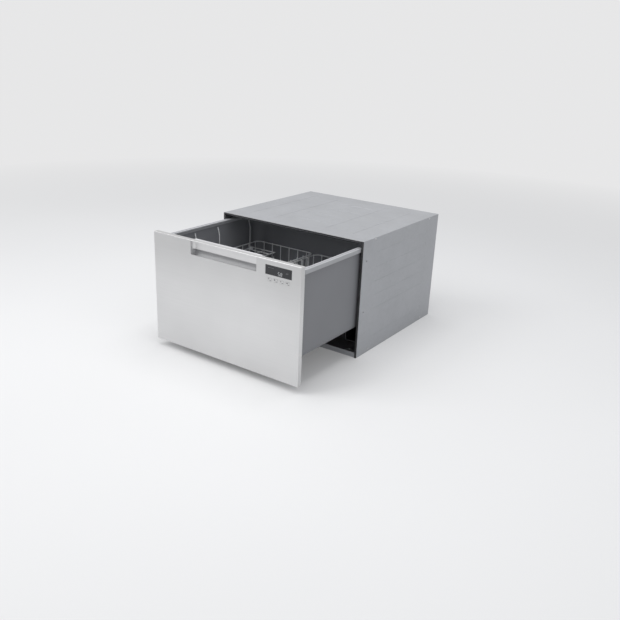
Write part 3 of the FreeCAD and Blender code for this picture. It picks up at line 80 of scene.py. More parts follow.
# ---- shader maths
class Wire:
    """One output socket of a node tree that takes part in plain arithmetic."""

    def __init__(self, board: "Board", socket: bpy.types.NodeSocket) -> None:
        """Keep the socket and the board it is on."""
        self.board = board
        self.socket = socket

    def __add__(self, other: Any) -> "Wire":
        """Sum."""
        return self.board.maths("ADD", self, other)

    def __mul__(self, other: Any) -> "Wire":
        """Product."""
        return self.board.maths("MULTIPLY", self, other)


class Board:
    """A material or world under construction: one method adds any node to it."""

    def __init__(self, name: str, store: Any = bpy.data.materials) -> None:
        """Start an empty node tree.

        Args:
            name: the material's or the world's name.
            store: where it is kept.
        """
        self.owner = store.new(name)
        self.owner.use_nodes = True
        self.tree = self.owner.node_tree
        self.tree.nodes.clear()

    def node(self, kind: str, settings: dict[str, Any] | None = None,
             inputs: dict[Any, Any] | None = None, out: Any = 0) -> Wire:
        """Add one node.

        Args:
            kind: the node's type name.
            settings: its own settings, set before its sockets.
            inputs: a value or a wire for each named or numbered socket.
            out: the output wanted.

        Returns:
            The wanted output.
        """
        made = self.tree.nodes.new(kind)
        for key, value in (settings or {}).items():
            setattr(made, key, value)
        for key, value in (inputs or {}).items():
            if isinstance(value, Wire):
                self.tree.links.new(value.socket, made.inputs[key])
            else:
                made.inputs[key].default_value = value
        return Wire(self, made.outputs[out])

    def maths(self, operation: str, *values: Any) -> Wire:
        """A Math node on values or wires."""
        return self.node("ShaderNodeMath", {"operation": operation}, dict(enumerate(values)))

    def place(self, stretch: Point = EVEN) -> Wire:
        """Object coordinates, stretched along each axis."""
        where = self.node("ShaderNodeTexCoord", out="Object")
        return self.node("ShaderNodeVectorMath", {"operation": "MULTIPLY"}, {0: where, 1: stretch})

    def height(self) -> Wire:
        """The height above the floor."""
        return self.node("ShaderNodeSeparateXYZ", None, {0: self.place()}, out="Z")

    def noise(self, scale: float, detail: float = 3.0, stretch: Point = EVEN,
              rough: float = 0.5) -> Wire:
        """A noise value between about 0 and 1.

        Args:
            scale: how fine the noise is.
            detail: its octaves.
            stretch: how much finer it is along each axis.
            rough: how strong the finer octaves are.

        Returns:
            The noise value.
        """
        return self.node("ShaderNodeTexNoise", {"noise_dimensions": "3D"},
                         {"Vector": self.place(stretch), "Scale": scale, "Detail": detail,
                          "Roughness": rough}, out="Fac")

    def cells(self, scale: float, out: str = "Distance", metric: str = "EUCLIDEAN") -> Wire:
        """A cell pattern's distance or colour."""
        return self.node("ShaderNodeTexVoronoi", {"feature": "F1", "distance": metric},
                         {"Vector": self.place(), "Scale": scale}, out=out)

    def between(self, value: Wire, low: float, high: float, to_low: float = 0.0,
                to_high: float = 1.0) -> Wire:
        """Carry a value from one range to another, held at the ends."""
        return self.node("ShaderNodeMapRange", {"clamp": True},
                         {"Value": value, "From Min": low, "From Max": high,
                          "To Min": to_low, "To Max": to_high})

    def mix(self, factor: Wire, first: Wire | Colour, second: Wire | Colour) -> Wire:
        """Mix two colours.

        Args:
            factor: 0 for the first, 1 for the second.
            first: a colour or a wire.
            second: a colour or a wire.

        Returns:
            The mixed colour.
        """
        made = self.tree.nodes.new("ShaderNodeMix")
        made.data_type = "RGBA"
        for key, value in ((0, factor), (6, first), (7, second)):
            if isinstance(value, Wire):
                self.tree.links.new(value.socket, made.inputs[key])
            else:
                made.inputs[key].default_value = (*value, 1.0)
        return Wire(self, made.outputs[2])

    def shade(self, value: Wire, low: float, high: float, first: Colour, second: Colour) -> Wire:
        """Go from one colour to another while a value goes from low to high."""
        return self.mix(self.between(value, low, high), first, second)

    def relief(self, height: Wire, distance: float, strength: float) -> Wire:
        """A bump of a real height in metres."""
        return self.node("ShaderNodeBump", None,
                         {"Height": height, "Distance": distance, "Strength": strength})

    def close(self, surface: Wire, kind: str = "ShaderNodeOutputMaterial") -> Any:
        """Send a shader to the output and hand the material or world back."""
        output = self.tree.nodes.new(kind)
        self.tree.links.new(surface.socket, output.inputs["Surface"])
        return self.owner

    def skin(self, colour: Wire, rough: Wire, metal: float, normal: Wire,
             **constants: Any) -> Paint:
        """Finish the material with one surface shader.

        Args:
            colour: its base colour.
            rough: its roughness.
            metal: its metalness.
            normal: its bumped normal.
            constants: values for the shader's own sockets, spaces written as underscores.

        Returns:
            The finished material.
        """
        sockets = {"Base Color": colour, "Roughness": rough, "Metallic": metal, "Normal": normal}
        sockets |= {key.replace("_", " "): value for key, value in constants.items()}
        return self.close(self.node("ShaderNodeBsdfPrincipled", None, sockets))


# ---- finishes
def scaled(colour: Colour, factor: float) -> Colour:
    """A colour made lighter or darker, held at 1."""
    return tuple(min(1.0, part * factor) for part in colour)


class Grain(Enum):
    """The direction that a brushed surface was rubbed in."""

    ACROSS = (1.5, 90.0, 420.0)
    ROUND = (60.0, 60.0, 60.0)


@dataclass(frozen=True)
class BrushedSteel:
    """Stainless steel rubbed in one direction, then oiled against fingermarks."""

    name: str
    colour: Colour
    rough: float
    grain: Grain = Grain.ACROSS
    depth: float = 6e-6
    streak: float = 0.07
    cloud: float = 0.035
    # painted reflection: how far the tone is lifted or lowered in bands by height
    painted_sheen: float = 0.0

    def build(self) -> Paint:
        """Make the material: fine streaks over slow clouds, and optional bands of painted reflection
        by height.
        """
        board = Board(self.name)
        fine = board.noise(1.0, 4.0, self.grain.value, 0.62)
        slow = board.noise(5.0, 2.0)
        light = board.between(fine, 0.3, 0.7, 1.0 - self.streak, 1.0 + self.streak)
        tone = light + board.between(slow, 0.3, 0.7, -self.cloud, self.cloud)
        # painted reflection: a darker top, a lighter middle and a slightly darker foot, set by height
        # alone
        if self.painted_sheen:
            rise = board.height()
            tone = tone + board.between(rise, 0.25, 0.36, self.painted_sheen, -self.painted_sheen)
            tone = tone + board.between(rise, 0.06, 0.17, -self.painted_sheen * 0.6, 0.0)
        colour = board.shade(tone, 0.85, 1.15, scaled(self.colour, 0.86), scaled(self.colour, 1.12))
        rough = board.between(fine, 0.25, 0.75, self.rough - 0.06, self.rough + 0.08)
        return board.skin(colour, rough, 1.0, board.relief(fine, self.depth, 0.6))


@dataclass(frozen=True)
class Sheet:
    """Zinc-coated sheet: a faint spangle, dull patches and rolling lines."""

    name: str
    colour: Colour = (0.42, 0.43, 0.45)
    rough: float = 0.46
    metal: float = 0.75

    def build(self) -> Paint:
        """Make the material from cells of slightly different tone."""
        board = Board(self.name)
        spangle = board.cells(95.0, out="Color")
        tone = board.node("ShaderNodeRGBToBW", None, {"Color": spangle})
        cloud = board.noise(9.0, 3.0)
        rolled = board.noise(1.0, 2.0, (3.0, 260.0, 260.0))
        value = tone * 0.2 + cloud * 0.5 + rolled * 0.3
        colour = board.shade(value, 0.3, 0.7, scaled(self.colour, 0.93), scaled(self.colour, 1.07))
        rough = board.between(value, 0.2, 0.8, self.rough - 0.05, self.rough + 0.06)
        return board.skin(colour, rough, self.metal, board.relief(value, 6e-6, 0.5))


@dataclass(frozen=True)
class Moulded:
    """Moulded plastic with a fine spark-eroded grain and slow tone changes."""

    name: str
    colour: Colour
    rough: float = 0.48
    pit: float = 900.0
    depth: float = 2.2e-5
    coat: float = 0.0
    # the paler colour painted on the tub's rim, a painted highlight of its lit top
    rim: Colour | None = None

    def build(self) -> Paint:
        """Make the material from two sizes of pits and a cloud; the tub's rim and skirt are painted
        paler as a painted highlight of their lit top.
        """
        board = Board(self.name)
        pits = board.cells(self.pit)
        grit = board.noise(self.pit * 0.6, 2.0)
        cloud = board.noise(7.0, 3.0)
        colour = board.shade(cloud, 0.3, 0.7, scaled(self.colour, 1.0 - CLOUD),
                             scaled(self.colour, 1.0 + CLOUD))
        # painted highlight: everything above 0.373 m takes the paler rim colour, for the lit top
        # against the shaded walls
        if self.rim is not None:
            colour = board.mix(board.between(board.height(), 0.3728, 0.3734), colour, self.rim)
        rough = board.between(cloud + grit * 0.4, 0.45, 0.95, self.rough - 0.05, self.rough + 0.06)
        height = pits * 0.7 + grit * 0.3
        return board.skin(colour, rough, 0.0, board.relief(height, self.depth, 0.55),
                          Coat_Weight=self.coat, Coat_Roughness=0.2)


@dataclass(frozen=True)
class Coated:
    """Nylon-dipped wire: soft gloss, slightly uneven, a little yellow in its hollows."""

    name: str
    colour: Colour = (0.80, 0.81, 0.83)

    def build(self) -> Paint:
        """Make the material from a slow wave of the dip's thickness."""
        board = Board(self.name)
        wave = board.noise(60.0, 2.0)
        speck = board.noise(700.0, 2.0)
        warm = (self.colour[0] * 0.94, self.colour[1] * 0.93, self.colour[2] * 0.90)
        colour = board.shade(wave, 0.35, 0.65, self.colour, warm)
        rough = board.between(speck, 0.3, 0.7, 0.30, 0.42)
        return board.skin(colour, rough, 0.0, board.relief(wave + speck * 0.15, 1.2e-4, 0.4),
                          Coat_Weight=0.25, Coat_Roughness=0.18)


@dataclass(frozen=True)
class Rubber:
    """Soft black or grey rubber with bloom."""

    name: str
    colour: Colour = (0.035, 0.035, 0.037)

    def build(self) -> Paint:
        """Make the material from dusty bloom over fine grit."""
        board = Board(self.name)
        bloom = board.noise(28.0, 4.0)
        grit = board.noise(1400.0, 2.0)
        pale = tuple(part * 1.5 + 0.012 for part in self.colour)
        colour = board.shade(bloom, 0.4, 0.75, self.colour, pale)
        rough = board.between(bloom, 0.3, 0.7, 0.58, 0.78)
        return board.skin(colour, rough, 0.0, board.relief(grit, 1.5e-5, 0.5))


@dataclass(frozen=True)
class Plated:
    """Bright zinc plate on small turned and pressed steel pieces."""

    name: str
    colour: Colour = (0.62, 0.62, 0.63)
    rough: float = 0.26

    def build(self) -> Paint:
        """Make the material from cloudy plate with fine scratches."""
        board = Board(self.name)
        cloud = board.noise(45.0, 3.0)
        scratch = board.noise(1.0, 3.0, (30.0, 600.0, 600.0))
        colour = board.shade(cloud, 0.3, 0.7, scaled(self.colour, 0.82), self.colour)
        rough = board.between(scratch, 0.3, 0.7, self.rough - 0.06, self.rough + 0.12)
        return board.skin(colour, rough, 1.0, board.relief(scratch, 5e-6, 0.5))


@dataclass(frozen=True)
class Smoked:
    """The display's smoked window: dark, glossy, with patches painted a shade lighter as painted
    light.
    """

    name: str
    colour: Colour = (0.030, 0.031, 0.034)

    def build(self) -> Paint:
        """Make the material from a faint dot mask under gloss."""
        board = Board(self.name)
        dots = board.cells(1600.0)
        # painted light: random patches of the window are made up to a third lighter
        lit = board.noise(14.0, 2.0)
        colour = board.shade(lit + dots * 0.2, 0.4, 0.8, self.colour, scaled(self.colour, 1.35))
        rough = board.between(lit, 0.3, 0.7, 0.10, 0.17)
        return board.skin(colour, rough, 0.0, board.relief(dots, 1e-6, 0.3),
                          Specular_IOR_Level=0.38)


@dataclass(frozen=True)
class Printed:
    """Ink or lit segments: a plain tone broken up by its screen."""

    name: str
    colour: Colour
    glow: float = 0.0

    def build(self) -> Paint:
        """Make the material from a fine screen over the tone."""
        board = Board(self.name)
        screen = board.noise(2500.0, 1.0)
        colour = board.shade(screen, 0.35, 0.65, scaled(self.colour, 0.88), self.colour)
        rough = board.between(screen, 0.3, 0.7, 0.42, 0.55)
        return board.skin(colour, rough, 0.0, board.relief(screen, 2e-6, 0.3),
                          Emission_Color=(*self.colour, 1.0), Emission_Strength=self.glow)


@dataclass(frozen=True)
class Laminate:
    """The green circuit board with its tracks under the lacquer."""

    name: str
    colour: Colour = (0.02, 0.13, 0.06)

    def build(self) -> Paint:
        """Make the material from straight-sided cells as tracks."""
        board = Board(self.name)
        tracks = board.cells(190.0, metric="MANHATTAN")
        colour = board.shade(tracks, 0.42, 0.46, self.colour, (0.05, 0.24, 0.12))
        rough = board.between(tracks, 0.2, 0.8, 0.28, 0.40)
        return board.skin(colour, rough, 0.0, board.relief(tracks, 3e-5, 0.4))


# ---- modelling moves
def deselect() -> None:
    """Leave nothing selected."""
    bpy.ops.object.select_all(action="DESELECT")


def pick(piece: Piece) -> Piece:
    """Make one object the only selected one, and the active one."""
    deselect()
    piece.select_set(True)
    bpy.context.view_layer.objects.active = piece
    return piece


@contextmanager
def editing(piece: Piece) -> Iterator[bmesh.types.BMesh]:
    """Work on a piece in edit mode with nothing selected at the start.

    Args:
        piece: the object to edit.

    Returns:
        Its edit mesh, for selecting by place or normal.
    """
    pick(piece)
    bpy.ops.object.mode_set(mode="EDIT")
    bpy.ops.mesh.select_mode(type="FACE")
    bpy.ops.mesh.select_all(action="DESELECT")
    yield bmesh.from_edit_mesh(piece.data)
    bpy.ops.object.mode_set(mode="OBJECT")


def choose_faces(piece: Piece, mesh: bmesh.types.BMesh, test: Test) -> None:
    """Select the faces whose middle and normal pass a test."""
    for face in mesh.faces:
        face.select_set(bool(test(face.calc_center_median(), face.normal)))
    bmesh.update_edit_mesh(piece.data)


def choose_edges(piece: Piece, mesh: bmesh.types.BMesh, test: Test) -> None:
    """Select the edges whose middle and direction pass a test."""
    bpy.ops.mesh.select_mode(type="EDGE")
    for edge in mesh.edges:
        ends = [vert.co for vert in edge.verts]
        along = (ends[1] - ends[0]).normalized()
        edge.select_set(bool(test((ends[0] + ends[1]) / 2, along)))
    bmesh.update_edit_mesh(piece.data)


def called(piece: Piece, name: str) -> Piece:
    """Name a piece and its mesh."""
    piece.name = name
    piece.data.name = name
    return piece


def settle(piece: Piece, name: str) -> Piece:
    """Name a piece and put its place, turn and size into its mesh."""
    pick(piece)
    bpy.ops.object.transform_apply(location=True, rotation=True, scale=True)
    return called(piece, name)


def block(name: str, low: Point, high: Point) -> Piece:
    """A box between two corners, as the start of a piece."""
    deselect()
    middle = [(a + b) / 2 for a, b in zip(low, high)]
    bpy.ops.mesh.primitive_cube_add(size=1.0, location=middle)
    piece = bpy.context.active_object
    piece.scale = [b - a for a, b in zip(low, high)]
    return settle(piece, name)


def round_bar(name: str, start: Point, end: Point, radius: float, sides: int) -> Piece:
    """A round bar between two points, as the start of a piece."""
    deselect()
    first, last = Vector(start), Vector(end)
    middle, along = (first + last) / 2, last - first
    turn = along.to_track_quat("Z", "Y").to_euler()
    bpy.ops.mesh.primitive_cylinder_add(vertices=sides, radius=radius, depth=along.length,
                                        location=middle, rotation=turn)
    return settle(bpy.context.active_object, name)


def apply_modifier(piece: Piece, kind: str, **settings: Any) -> Piece:
    """Add a modifier, set it, and apply it."""
    pick(piece)
    made = piece.modifiers.new("work", kind)
    for key, value in settings.items():
        setattr(made, key, value)
    bpy.ops.object.modifier_apply(modifier=made.name)
    return piece


def remove(piece: Piece) -> None:
    """Throw a working piece away with its mesh."""
    mesh = piece.data
    bpy.data.objects.remove(piece)
    bpy.data.meshes.remove(mesh)


def cut(piece: Piece, cutters: Sequence[Piece]) -> Piece:
    """Cut pieces out of another one by one, and throw them away."""
    for cutter in cutters:
        apply_modifier(piece, "BOOLEAN", operation="DIFFERENCE", object=cutter, solver="EXACT")
        remove(cutter)
    return piece


def weld(piece: Piece, others: Sequence[Piece]) -> Piece:
    """Make one closed solid of a piece and those that overlap it."""
    for other in others:
        apply_modifier(piece, "BOOLEAN", operation="UNION", object=other, solver="EXACT")
        remove(other)
    return piece


def join(name: str, pieces: Sequence[Piece]) -> Piece:
    """Put separate closed shapes in one object without merging them."""
    deselect()
    for piece in pieces:
        piece.select_set(True)
    bpy.context.view_layer.objects.active = pieces[0]
    if len(pieces) > 1:
        bpy.ops.object.join()
    return called(pieces[0], name)


def soften(piece: Piece, width: float, segments: int = 2,
           angle: float = 40.0) -> Piece:
    """Round every sharp edge of a piece."""
    return apply_modifier(piece, "BEVEL", width=width, segments=segments,
                          limit_method="ANGLE", angle_limit=math.radians(angle),
                          use_clamp_overlap=True, harden_normals=False)


def round_off(piece: Piece, width: float, segments: int, test: Test) -> Piece:
    """Round only the edges whose middle and direction pass a test."""
    with editing(piece) as mesh:
        choose_edges(piece, mesh, test)
        bpy.ops.mesh.bevel(offset=width, offset_type="OFFSET", segments=segments,
                           profile=0.5, affect="EDGES", clamp_overlap=True)
    return piece


def running(axis: str) -> Test:
    """A test for the edges that run along an axis."""
    return lambda middle, along: abs(getattr(along, axis)) > 0.999


def at(axis: str, place: float, way: Test | None = None) -> Test:
    """A test for the edges at one place along an axis, and of one way if that is given."""
    return lambda middle, along: (abs(getattr(middle, axis) - place) < NEAR
                                  and (way is None or way(middle, along)))


lying_across, lying_deep, upright = running("x"), running("y"), running("z")


def smooth(piece: Piece, angle: float = 32.0) -> Piece:
    """Shade a piece smooth where its faces meet at less than an angle."""
    pick(piece)
    bpy.ops.object.shade_smooth_by_angle(angle=math.radians(angle))
    return piece


def copy_of(piece: Piece, name: str, moved: Point = NOWHERE) -> Piece:
    """A copy with its own mesh, moved.

    Args:
        piece: the finished piece to copy.
        name: the copy's name.
        moved: how far it moves.

    Returns:
        The copy.
    """
    made = piece.copy()
    made.data = piece.data.copy()
    bpy.context.scene.collection.objects.link(made)
    made.data.transform(Matrix.Translation(moved))
    return called(made, name)


def twins(piece: Piece, name: str) -> list[Piece]:
    """A right-hand piece and its mirror image, which gets the name."""
    other = copy_of(piece, name)
    other.data.transform(Matrix.Scale(-1.0, 4, (1.0, 0.0, 0.0)))
    other.data.flip_normals()
    return [piece, other]


def bent_path(points: Sequence[Point], bends: Sequence[float], steps: int = 6) -> list[Vector]:
    """The points of a run with each corner rounded to its own radius.

    Args:
        points: the run's corners, its ends among them.
        bends: a radius for each corner between the ends.
        steps: how many steps each rounded corner has.

    Returns:
        The points of the rounded run.
    """
    corners = [Vector(point) for point in points]
    path = [corners[0]]
    for before, corner, after, bend in zip(corners, corners[1:], corners[2:], bends):
        back = (before - corner).normalized()
        onward = (after - corner).normalized()
        half = back.angle(onward) / 2
        start = corner + back * (bend / math.tan(half))
        end = corner + onward * (bend / math.tan(half))
        centre = corner + (back + onward).normalized() * (bend / math.sin(half))
        first, last = (start - centre).normalized(), (end - centre).normalized()
        for step in range(steps + 1):
            path.append(centre + first.slerp(last, step / steps) * bend)
    path.append(corners[-1])
    return path


def tubes(name: str, runs: Sequence[tuple[Sequence[Vector], bool]], radius: float,
          fineness: int = 2) -> Piece:
    """Round wires along several runs, as one mesh.

    Args:
        name: the piece's name.
        runs: for each wire its points, and True where it closes on itself.
        radius: the wire's radius.
        fineness: how round the wire's section is.

    Returns:
        The wires as one object.
    """
    curve = bpy.data.curves.new(name, "CURVE")
    curve.dimensions = "3D"
    curve.bevel_depth = radius
    curve.bevel_resolution = fineness
    curve.use_fill_caps = True
    for points, closed in runs:
        spline = curve.splines.new("POLY")
        spline.points.add(len(points) - 1)
        for slot, point in zip(spline.points, points):
            slot.co = (*point, 1.0)
        spline.use_cyclic_u = closed
    piece = bpy.data.objects.new(name, curve)
    bpy.context.scene.collection.objects.link(piece)
    pick(piece)
    bpy.ops.object.convert(target="MESH")
    piece = bpy.context.active_object
    piece.name = name
    return smooth(piece, 40.0)


def straight(*ends: Point) -> tuple[list[Vector], bool]:
    """One straight run of wire between two points."""
    return [Vector(end) for end in ends], False


def extruded(name: str, outline: Outline, plane: str, start: float,
             end: float) -> Piece:
    """A prism: a primitive face given an outline and pushed out along one axis.

    Args:
        name: the piece's name.
        outline: the outline's corners in its own plane, in order round it.
        plane: "YZ", "XZ" or "XY", the outline's two axes.
        start: where the prism starts on the third axis.
        end: where it ends.

    Returns:
        The prism.
    """
    deselect()
    bpy.ops.mesh.primitive_circle_add(vertices=len(outline), radius=1.0, fill_type="NGON")
    piece = bpy.context.active_object
    third = {"YZ": 0, "XZ": 1, "XY": 2}[plane]
    for vert, (u, v) in zip(piece.data.vertices, outline):
        place = [u, v]
        place.insert(third, start)
        vert.co = place
    push = [0.0, 0.0, 0.0]
    push[third] = end - start
    with editing(piece):
        bpy.ops.mesh.select_all(action="SELECT")
        bpy.ops.mesh.extrude_region_move(TRANSFORM_OT_translate={"value": push})
        bpy.ops.mesh.select_all(action="SELECT")
        bpy.ops.mesh.normals_make_consistent(inside=False)
    return called(piece, name)


def turned_piece(name: str, profile: Outline, centre: Point,
                 steps: int = 48, axis: str = "Z") -> Piece:
    """A turned piece: a profile of radius and height, spun once round an axis.

    Args:
        name: the piece's name.
        profile: radius and height pairs from one end of the axis to the other.
        centre: the point that heights are counted from.
        steps: how many faces go round it.
        axis: "Z", or "Y" for a piece that lies down.

    Returns:
        The closed piece.
    """
    deselect()
    bpy.ops.mesh.primitive_circle_add(vertices=len(profile), radius=1.0, fill_type="NOTHING")
    piece = bpy.context.active_object
    for vert, (radius, height) in zip(piece.data.vertices, profile):
        vert.co = (radius, 0.0, height)
    with editing(piece) as mesh:
        for edge in list(mesh.edges):
            ends = {vert.index for vert in edge.verts}
            if ends == {0, len(profile) - 1}:
                mesh.edges.remove(edge)
        bmesh.update_edit_mesh(piece.data)
        bpy.ops.mesh.select_all(action="SELECT")
        bpy.ops.mesh.spin(steps=steps, angle=2 * math.pi, center=(0.0, 0.0, 0.0),
                          axis=(0.0, 0.0, 1.0), use_auto_merge=True)
        bpy.ops.mesh.select_all(action="SELECT")
        bpy.ops.mesh.remove_doubles(threshold=1e-6)
        bpy.ops.mesh.normals_make_consistent(inside=False)
    piece.rotation_euler = (math.radians(-90.0) if axis == "Y" else 0.0, 0.0, 0.0)
    piece.location = centre
    return smooth(settle(piece, name))


def dress(piece: Piece, material: Paint, body: str,
          instead_of: Sequence[str] = ()) -> Piece:
    """Give a finished piece its material, body, slot and the nodes that it stands for.

    Args:
        piece: the finished piece.
        material: its material.
        body: the body that it moves with.
        instead_of: the CAD nodes that it stands for.

    Returns:
        The piece.
    """
    piece.data.materials.clear()
    piece.data.materials.append(material)
    apply_modifier(piece, "WEIGHTED_NORMAL", mode="FACE_AREA", weight=80, keep_sharp=True)
    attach(piece, body)
    if instead_of:
        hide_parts(*instead_of)
    LOG.info("%s: %d faces, moves with %s", piece.name, len(piece.data.polygons), body)
    return piece


def dress_twins(piece: Piece, left: str, material: Paint, bodies: str,
                node: str) -> None:
    """Mirror a right-hand piece, and dress it and its twin.

    Args:
        piece: the finished right-hand piece.
        left: the twin's name.
        material: their material.
        bodies: their body, with a star where the side's name goes.
        node: their CAD nodes, with a star where the side's name goes.
    """
    for made, side in zip(twins(piece, left), ("right", "left")):
        dress(made, material, bodies.replace("*", side), [node.replace("*", side)])


# ---- the palette
class Palette:
    """Every material of the drawer, built once, each under the name of its use."""

    def __init__(self) -> None:
        """Build every finish."""
        # painted reflection: the front steel gets bands of painted sheen and shade by height
        self.front = BrushedSteel("front_steel", (0.665, 0.665, 0.667), 0.36, depth=2e-6,
                                  streak=0.025, painted_sheen=0.085).build()
        self.grip = BrushedSteel("grip_steel", (0.72, 0.72, 0.722), 0.42, depth=2e-6,
                                 streak=0.02).build()
        self.scoop = Moulded("scoop_paint", (0.58, 0.58, 0.585), 0.50, depth=6e-6).build()
        self.rail = Plated("rail_plate", (0.10, 0.10, 0.105), 0.42).build()
        self.pierced = BrushedSteel("pierced_steel", (0.29, 0.29, 0.30), 0.38,
                                    Grain.ROUND).build()
        self.heater = BrushedSteel("heater_steel", (0.36, 0.33, 0.31), 0.40, Grain.ROUND).build()
        self.zinc = Sheet("zinc_sheet").build()
        self.screw = Plated("screw_plate").build()
        self.trim = Rubber("trim_rubber").build()
        self.seal = Rubber("seal_rubber", (0.085, 0.088, 0.092)).build()
        self.hose = Rubber("hose_rubber", (0.050, 0.050, 0.053)).build()
        # painted light and shade: the tub's body tone is as dark as its shaded side walls, its rim as
        # pale as its lit top
        self.tub = Moulded("tub_plastic", (0.215, 0.219, 0.233), 0.46,
                           rim=(0.42, 0.425, 0.44)).build()
        self.lid = Moulded("lid_plastic", (0.46, 0.47, 0.49), 0.50).build()
        self.carrier = Moulded("carrier_plastic", (0.075, 0.078, 0.084), 0.55, 700.0).build()
        self.drive = Moulded("drive_plastic", (0.030, 0.030, 0.033), 0.50, 700.0).build()
        self.pump = Moulded("pump_plastic", (0.16, 0.17, 0.19), 0.52, 700.0).build()
        self.filter = Moulded("filter_plastic", (0.13, 0.145, 0.17), 0.40).build()
        self.arm = Moulded("arm_plastic", (0.22, 0.235, 0.26), 0.42).build()
        self.cup = Moulded("cup_plastic", (0.30, 0.31, 0.335), 0.44).build()
        self.cap = Moulded("cap_plastic", (0.055, 0.13, 0.26), 0.34, coat=0.3).build()
        self.wire = Coated("coated_wire").build()
        self.basket = Moulded("basket_plastic", (0.27, 0.28, 0.305), 0.46).build()
        self.lens = Smoked("smoked_lens").build()
        self.board = Laminate("circuit_board").build()
        self.segment = Printed("lit_segment", (0.60, 0.61, 0.62), 0.35).build()
        self.faint = Printed("faint_segment", (0.22, 0.225, 0.23), 0.05).build()
        self.ink = Printed("key_ink", (0.03, 0.03, 0.034)).build()


@dataclass
class Section:
    """One group of the drawer's pieces, made with the shared finishes."""

    finishes: Palette


# ---- the front
@dataclass
class Front(Section):
    """The drawer's face: folded steel skin, scooped handle, display and keys."""

    half: float = 0.2995
    low: float = 0.024
    high: float = 0.404
    sheet: float = 0.001
    fold: float = 0.0016
    handle_half: float = 0.134
    handle_low: float = 0.3575
    handle_high: float = 0.402
    scoop_depth: float = 0.027
    display: Span = (0.1682, 0.2658, 0.3586, 0.3884)
    keys: tuple[tuple[str, float], ...] = (
        ("power", 0.184), ("program", 0.2065), ("option", 0.229), ("start", 0.2515))
    key_z: float = 0.3445
    key_half: tuple[float, float] = (0.0075, 0.0055)

    def build(self) -> None:
        """Make every piece of the front."""
        self.skin()
        self.scoop()
        self.pull_bar()
        self.window()
        self.readout()
        for index, (name, x) in enumerate(self.keys):
            self.key(name, x)
            self.key_mark(name, x, index)
        self.screws()

    def skin(self) -> None:
        """The folded face: rounded outer folds, hollow back, softened openings."""
        shell = block("front_skin_sheet", (-self.half, PANEL_FACE, self.low),
                      (self.half, PANEL_BACK, self.high))

        def folded(middle: Vector, along: Vector) -> bool:
            """True for the folds round the face and down its corners."""
            corner = abs(abs(middle.x) - self.half) < NEAR and lying_deep(middle, along)
            return corner or abs(middle.y - PANEL_FACE) < NEAR

        round_off(shell, self.fold, 5, folded)
        hollow = block("hollow", (-self.half + self.sheet, PANEL_FACE + self.sheet,
                                  self.low + self.sheet),
                       (self.half - self.sheet, PANEL_BACK + PAST, self.high - self.sheet))
        mouth = block("mouth", (-self.handle_half, PANEL_FACE - PAST, self.handle_low),
                      (self.handle_half, PANEL_FACE + 0.004, self.handle_high))
        round_off(mouth, 0.0012, 4, lying_deep)
        x0, x1, z0, z1 = self.display
        pane = block("pane", (x0, PANEL_FACE - PAST, z0), (x1, PANEL_FACE + 0.004, z1))
        round_off(pane, 0.0007, 3, lying_deep)
        holes = [self.key_blank("hole", x, 0.00035, -PAST, 0.004) for _, x in self.keys]
        cut(shell, [hollow, mouth, pane, *holes])
        soften(shell, BURR, 2, 50.0)
        smooth(shell, 30.0)
        dress(shell, self.finishes.front, "drawer", ["front_skin"])

    def key_blank(self, name: str, x: float, grow: float, near: float,
                  far: float) -> Piece:
        """A rounded block over one key, from near to far behind the face."""
        half_x, half_z = (size + grow for size in self.key_half)
        blank = block(name, (x - half_x, PANEL_FACE + near, self.key_z - half_z),
                      (x + half_x, PANEL_FACE + far, self.key_z + half_z))
        return round_off(blank, 0.003, 6, lying_deep)

    def scoop_outline(self) -> list[tuple[float, float]]:
        """The scooped room for the fingers, as points of Y and Z."""
        face, floor = PANEL_FACE, self.handle_low
        points = [(face - 0.004, floor + 0.0006), (face + 0.0008, floor + 0.0006)]
        centre_y, radius_y, sag = face + 0.0122, 0.0108, 0.0070
        for step in range(1, 13):
            angle = math.pi * step / 14
            points.append((centre_y - radius_y * math.cos(angle),
                           floor - sag * math.sin(angle) ** 0.8))
        back = face + self.scoop_depth
        for step in range(1, 9):
            angle = math.pi / 2 * step / 8
            points.append((face + 0.0215 + 0.0055 * math.sin(angle),
                           floor - 0.0016 + 0.0136 * (1 - math.cos(angle))))
        return points + [(back, self.handle_high - 0.0004), (face - 0.004, self.handle_high - 0.0004)]

    def scoop(self) -> None:
        """The pressed insert behind the mouth, its ends and lips drawn round."""
        back = PANEL_FACE + self.scoop_depth + 0.002
        body = block("handle_scoop", (-self.handle_half - 0.003, PANEL_FACE + self.sheet,
                                      self.handle_low - 0.009),
                     (self.handle_half + 0.003, back, self.high - self.sheet))
        room = extruded("room", self.scoop_outline(), "YZ", -self.handle_half, self.handle_half)

        def end_edge(middle: Vector, along: Vector) -> bool:
            """True for the edges round the two ends of the room."""
            at_end = abs(abs(middle.x) - self.handle_half) < 1e-6
            return at_end and middle.y > PANEL_FACE + 0.002 and middle.z < self.handle_high - 0.002

        round_off(room, 0.0022, 4, end_edge)
        cut(body, [room])
        smooth(body, 38.0)
        dress(body, self.finishes.scoop, "drawer", ["handle_pocket"])

    def pull_bar(self) -> None:
        """The bar that the fingers curl behind: swept ends and a rolled lower edge."""
        front = PANEL_FACE + 0.014
        low = self.handle_low + 0.017
        bar = block("pull_bar", (-self.handle_half, PANEL_FACE + 0.0012, low),
                    (self.handle_half, front + 0.004, self.handle_high))
        room = block("room", (-self.handle_half, PANEL_FACE - PAST, low - PAST),
                     (self.handle_half, front, self.handle_high + PAST))
        round_off(room, 0.0105, 10, at("y", front, upright))
        cut(bar, [room])
        round_off(bar, 0.0019, 6, at("z", low, lying_across))
        smooth(bar, 40.0)
        dress(bar, self.finishes.grip, "drawer", ["grip_bar"])

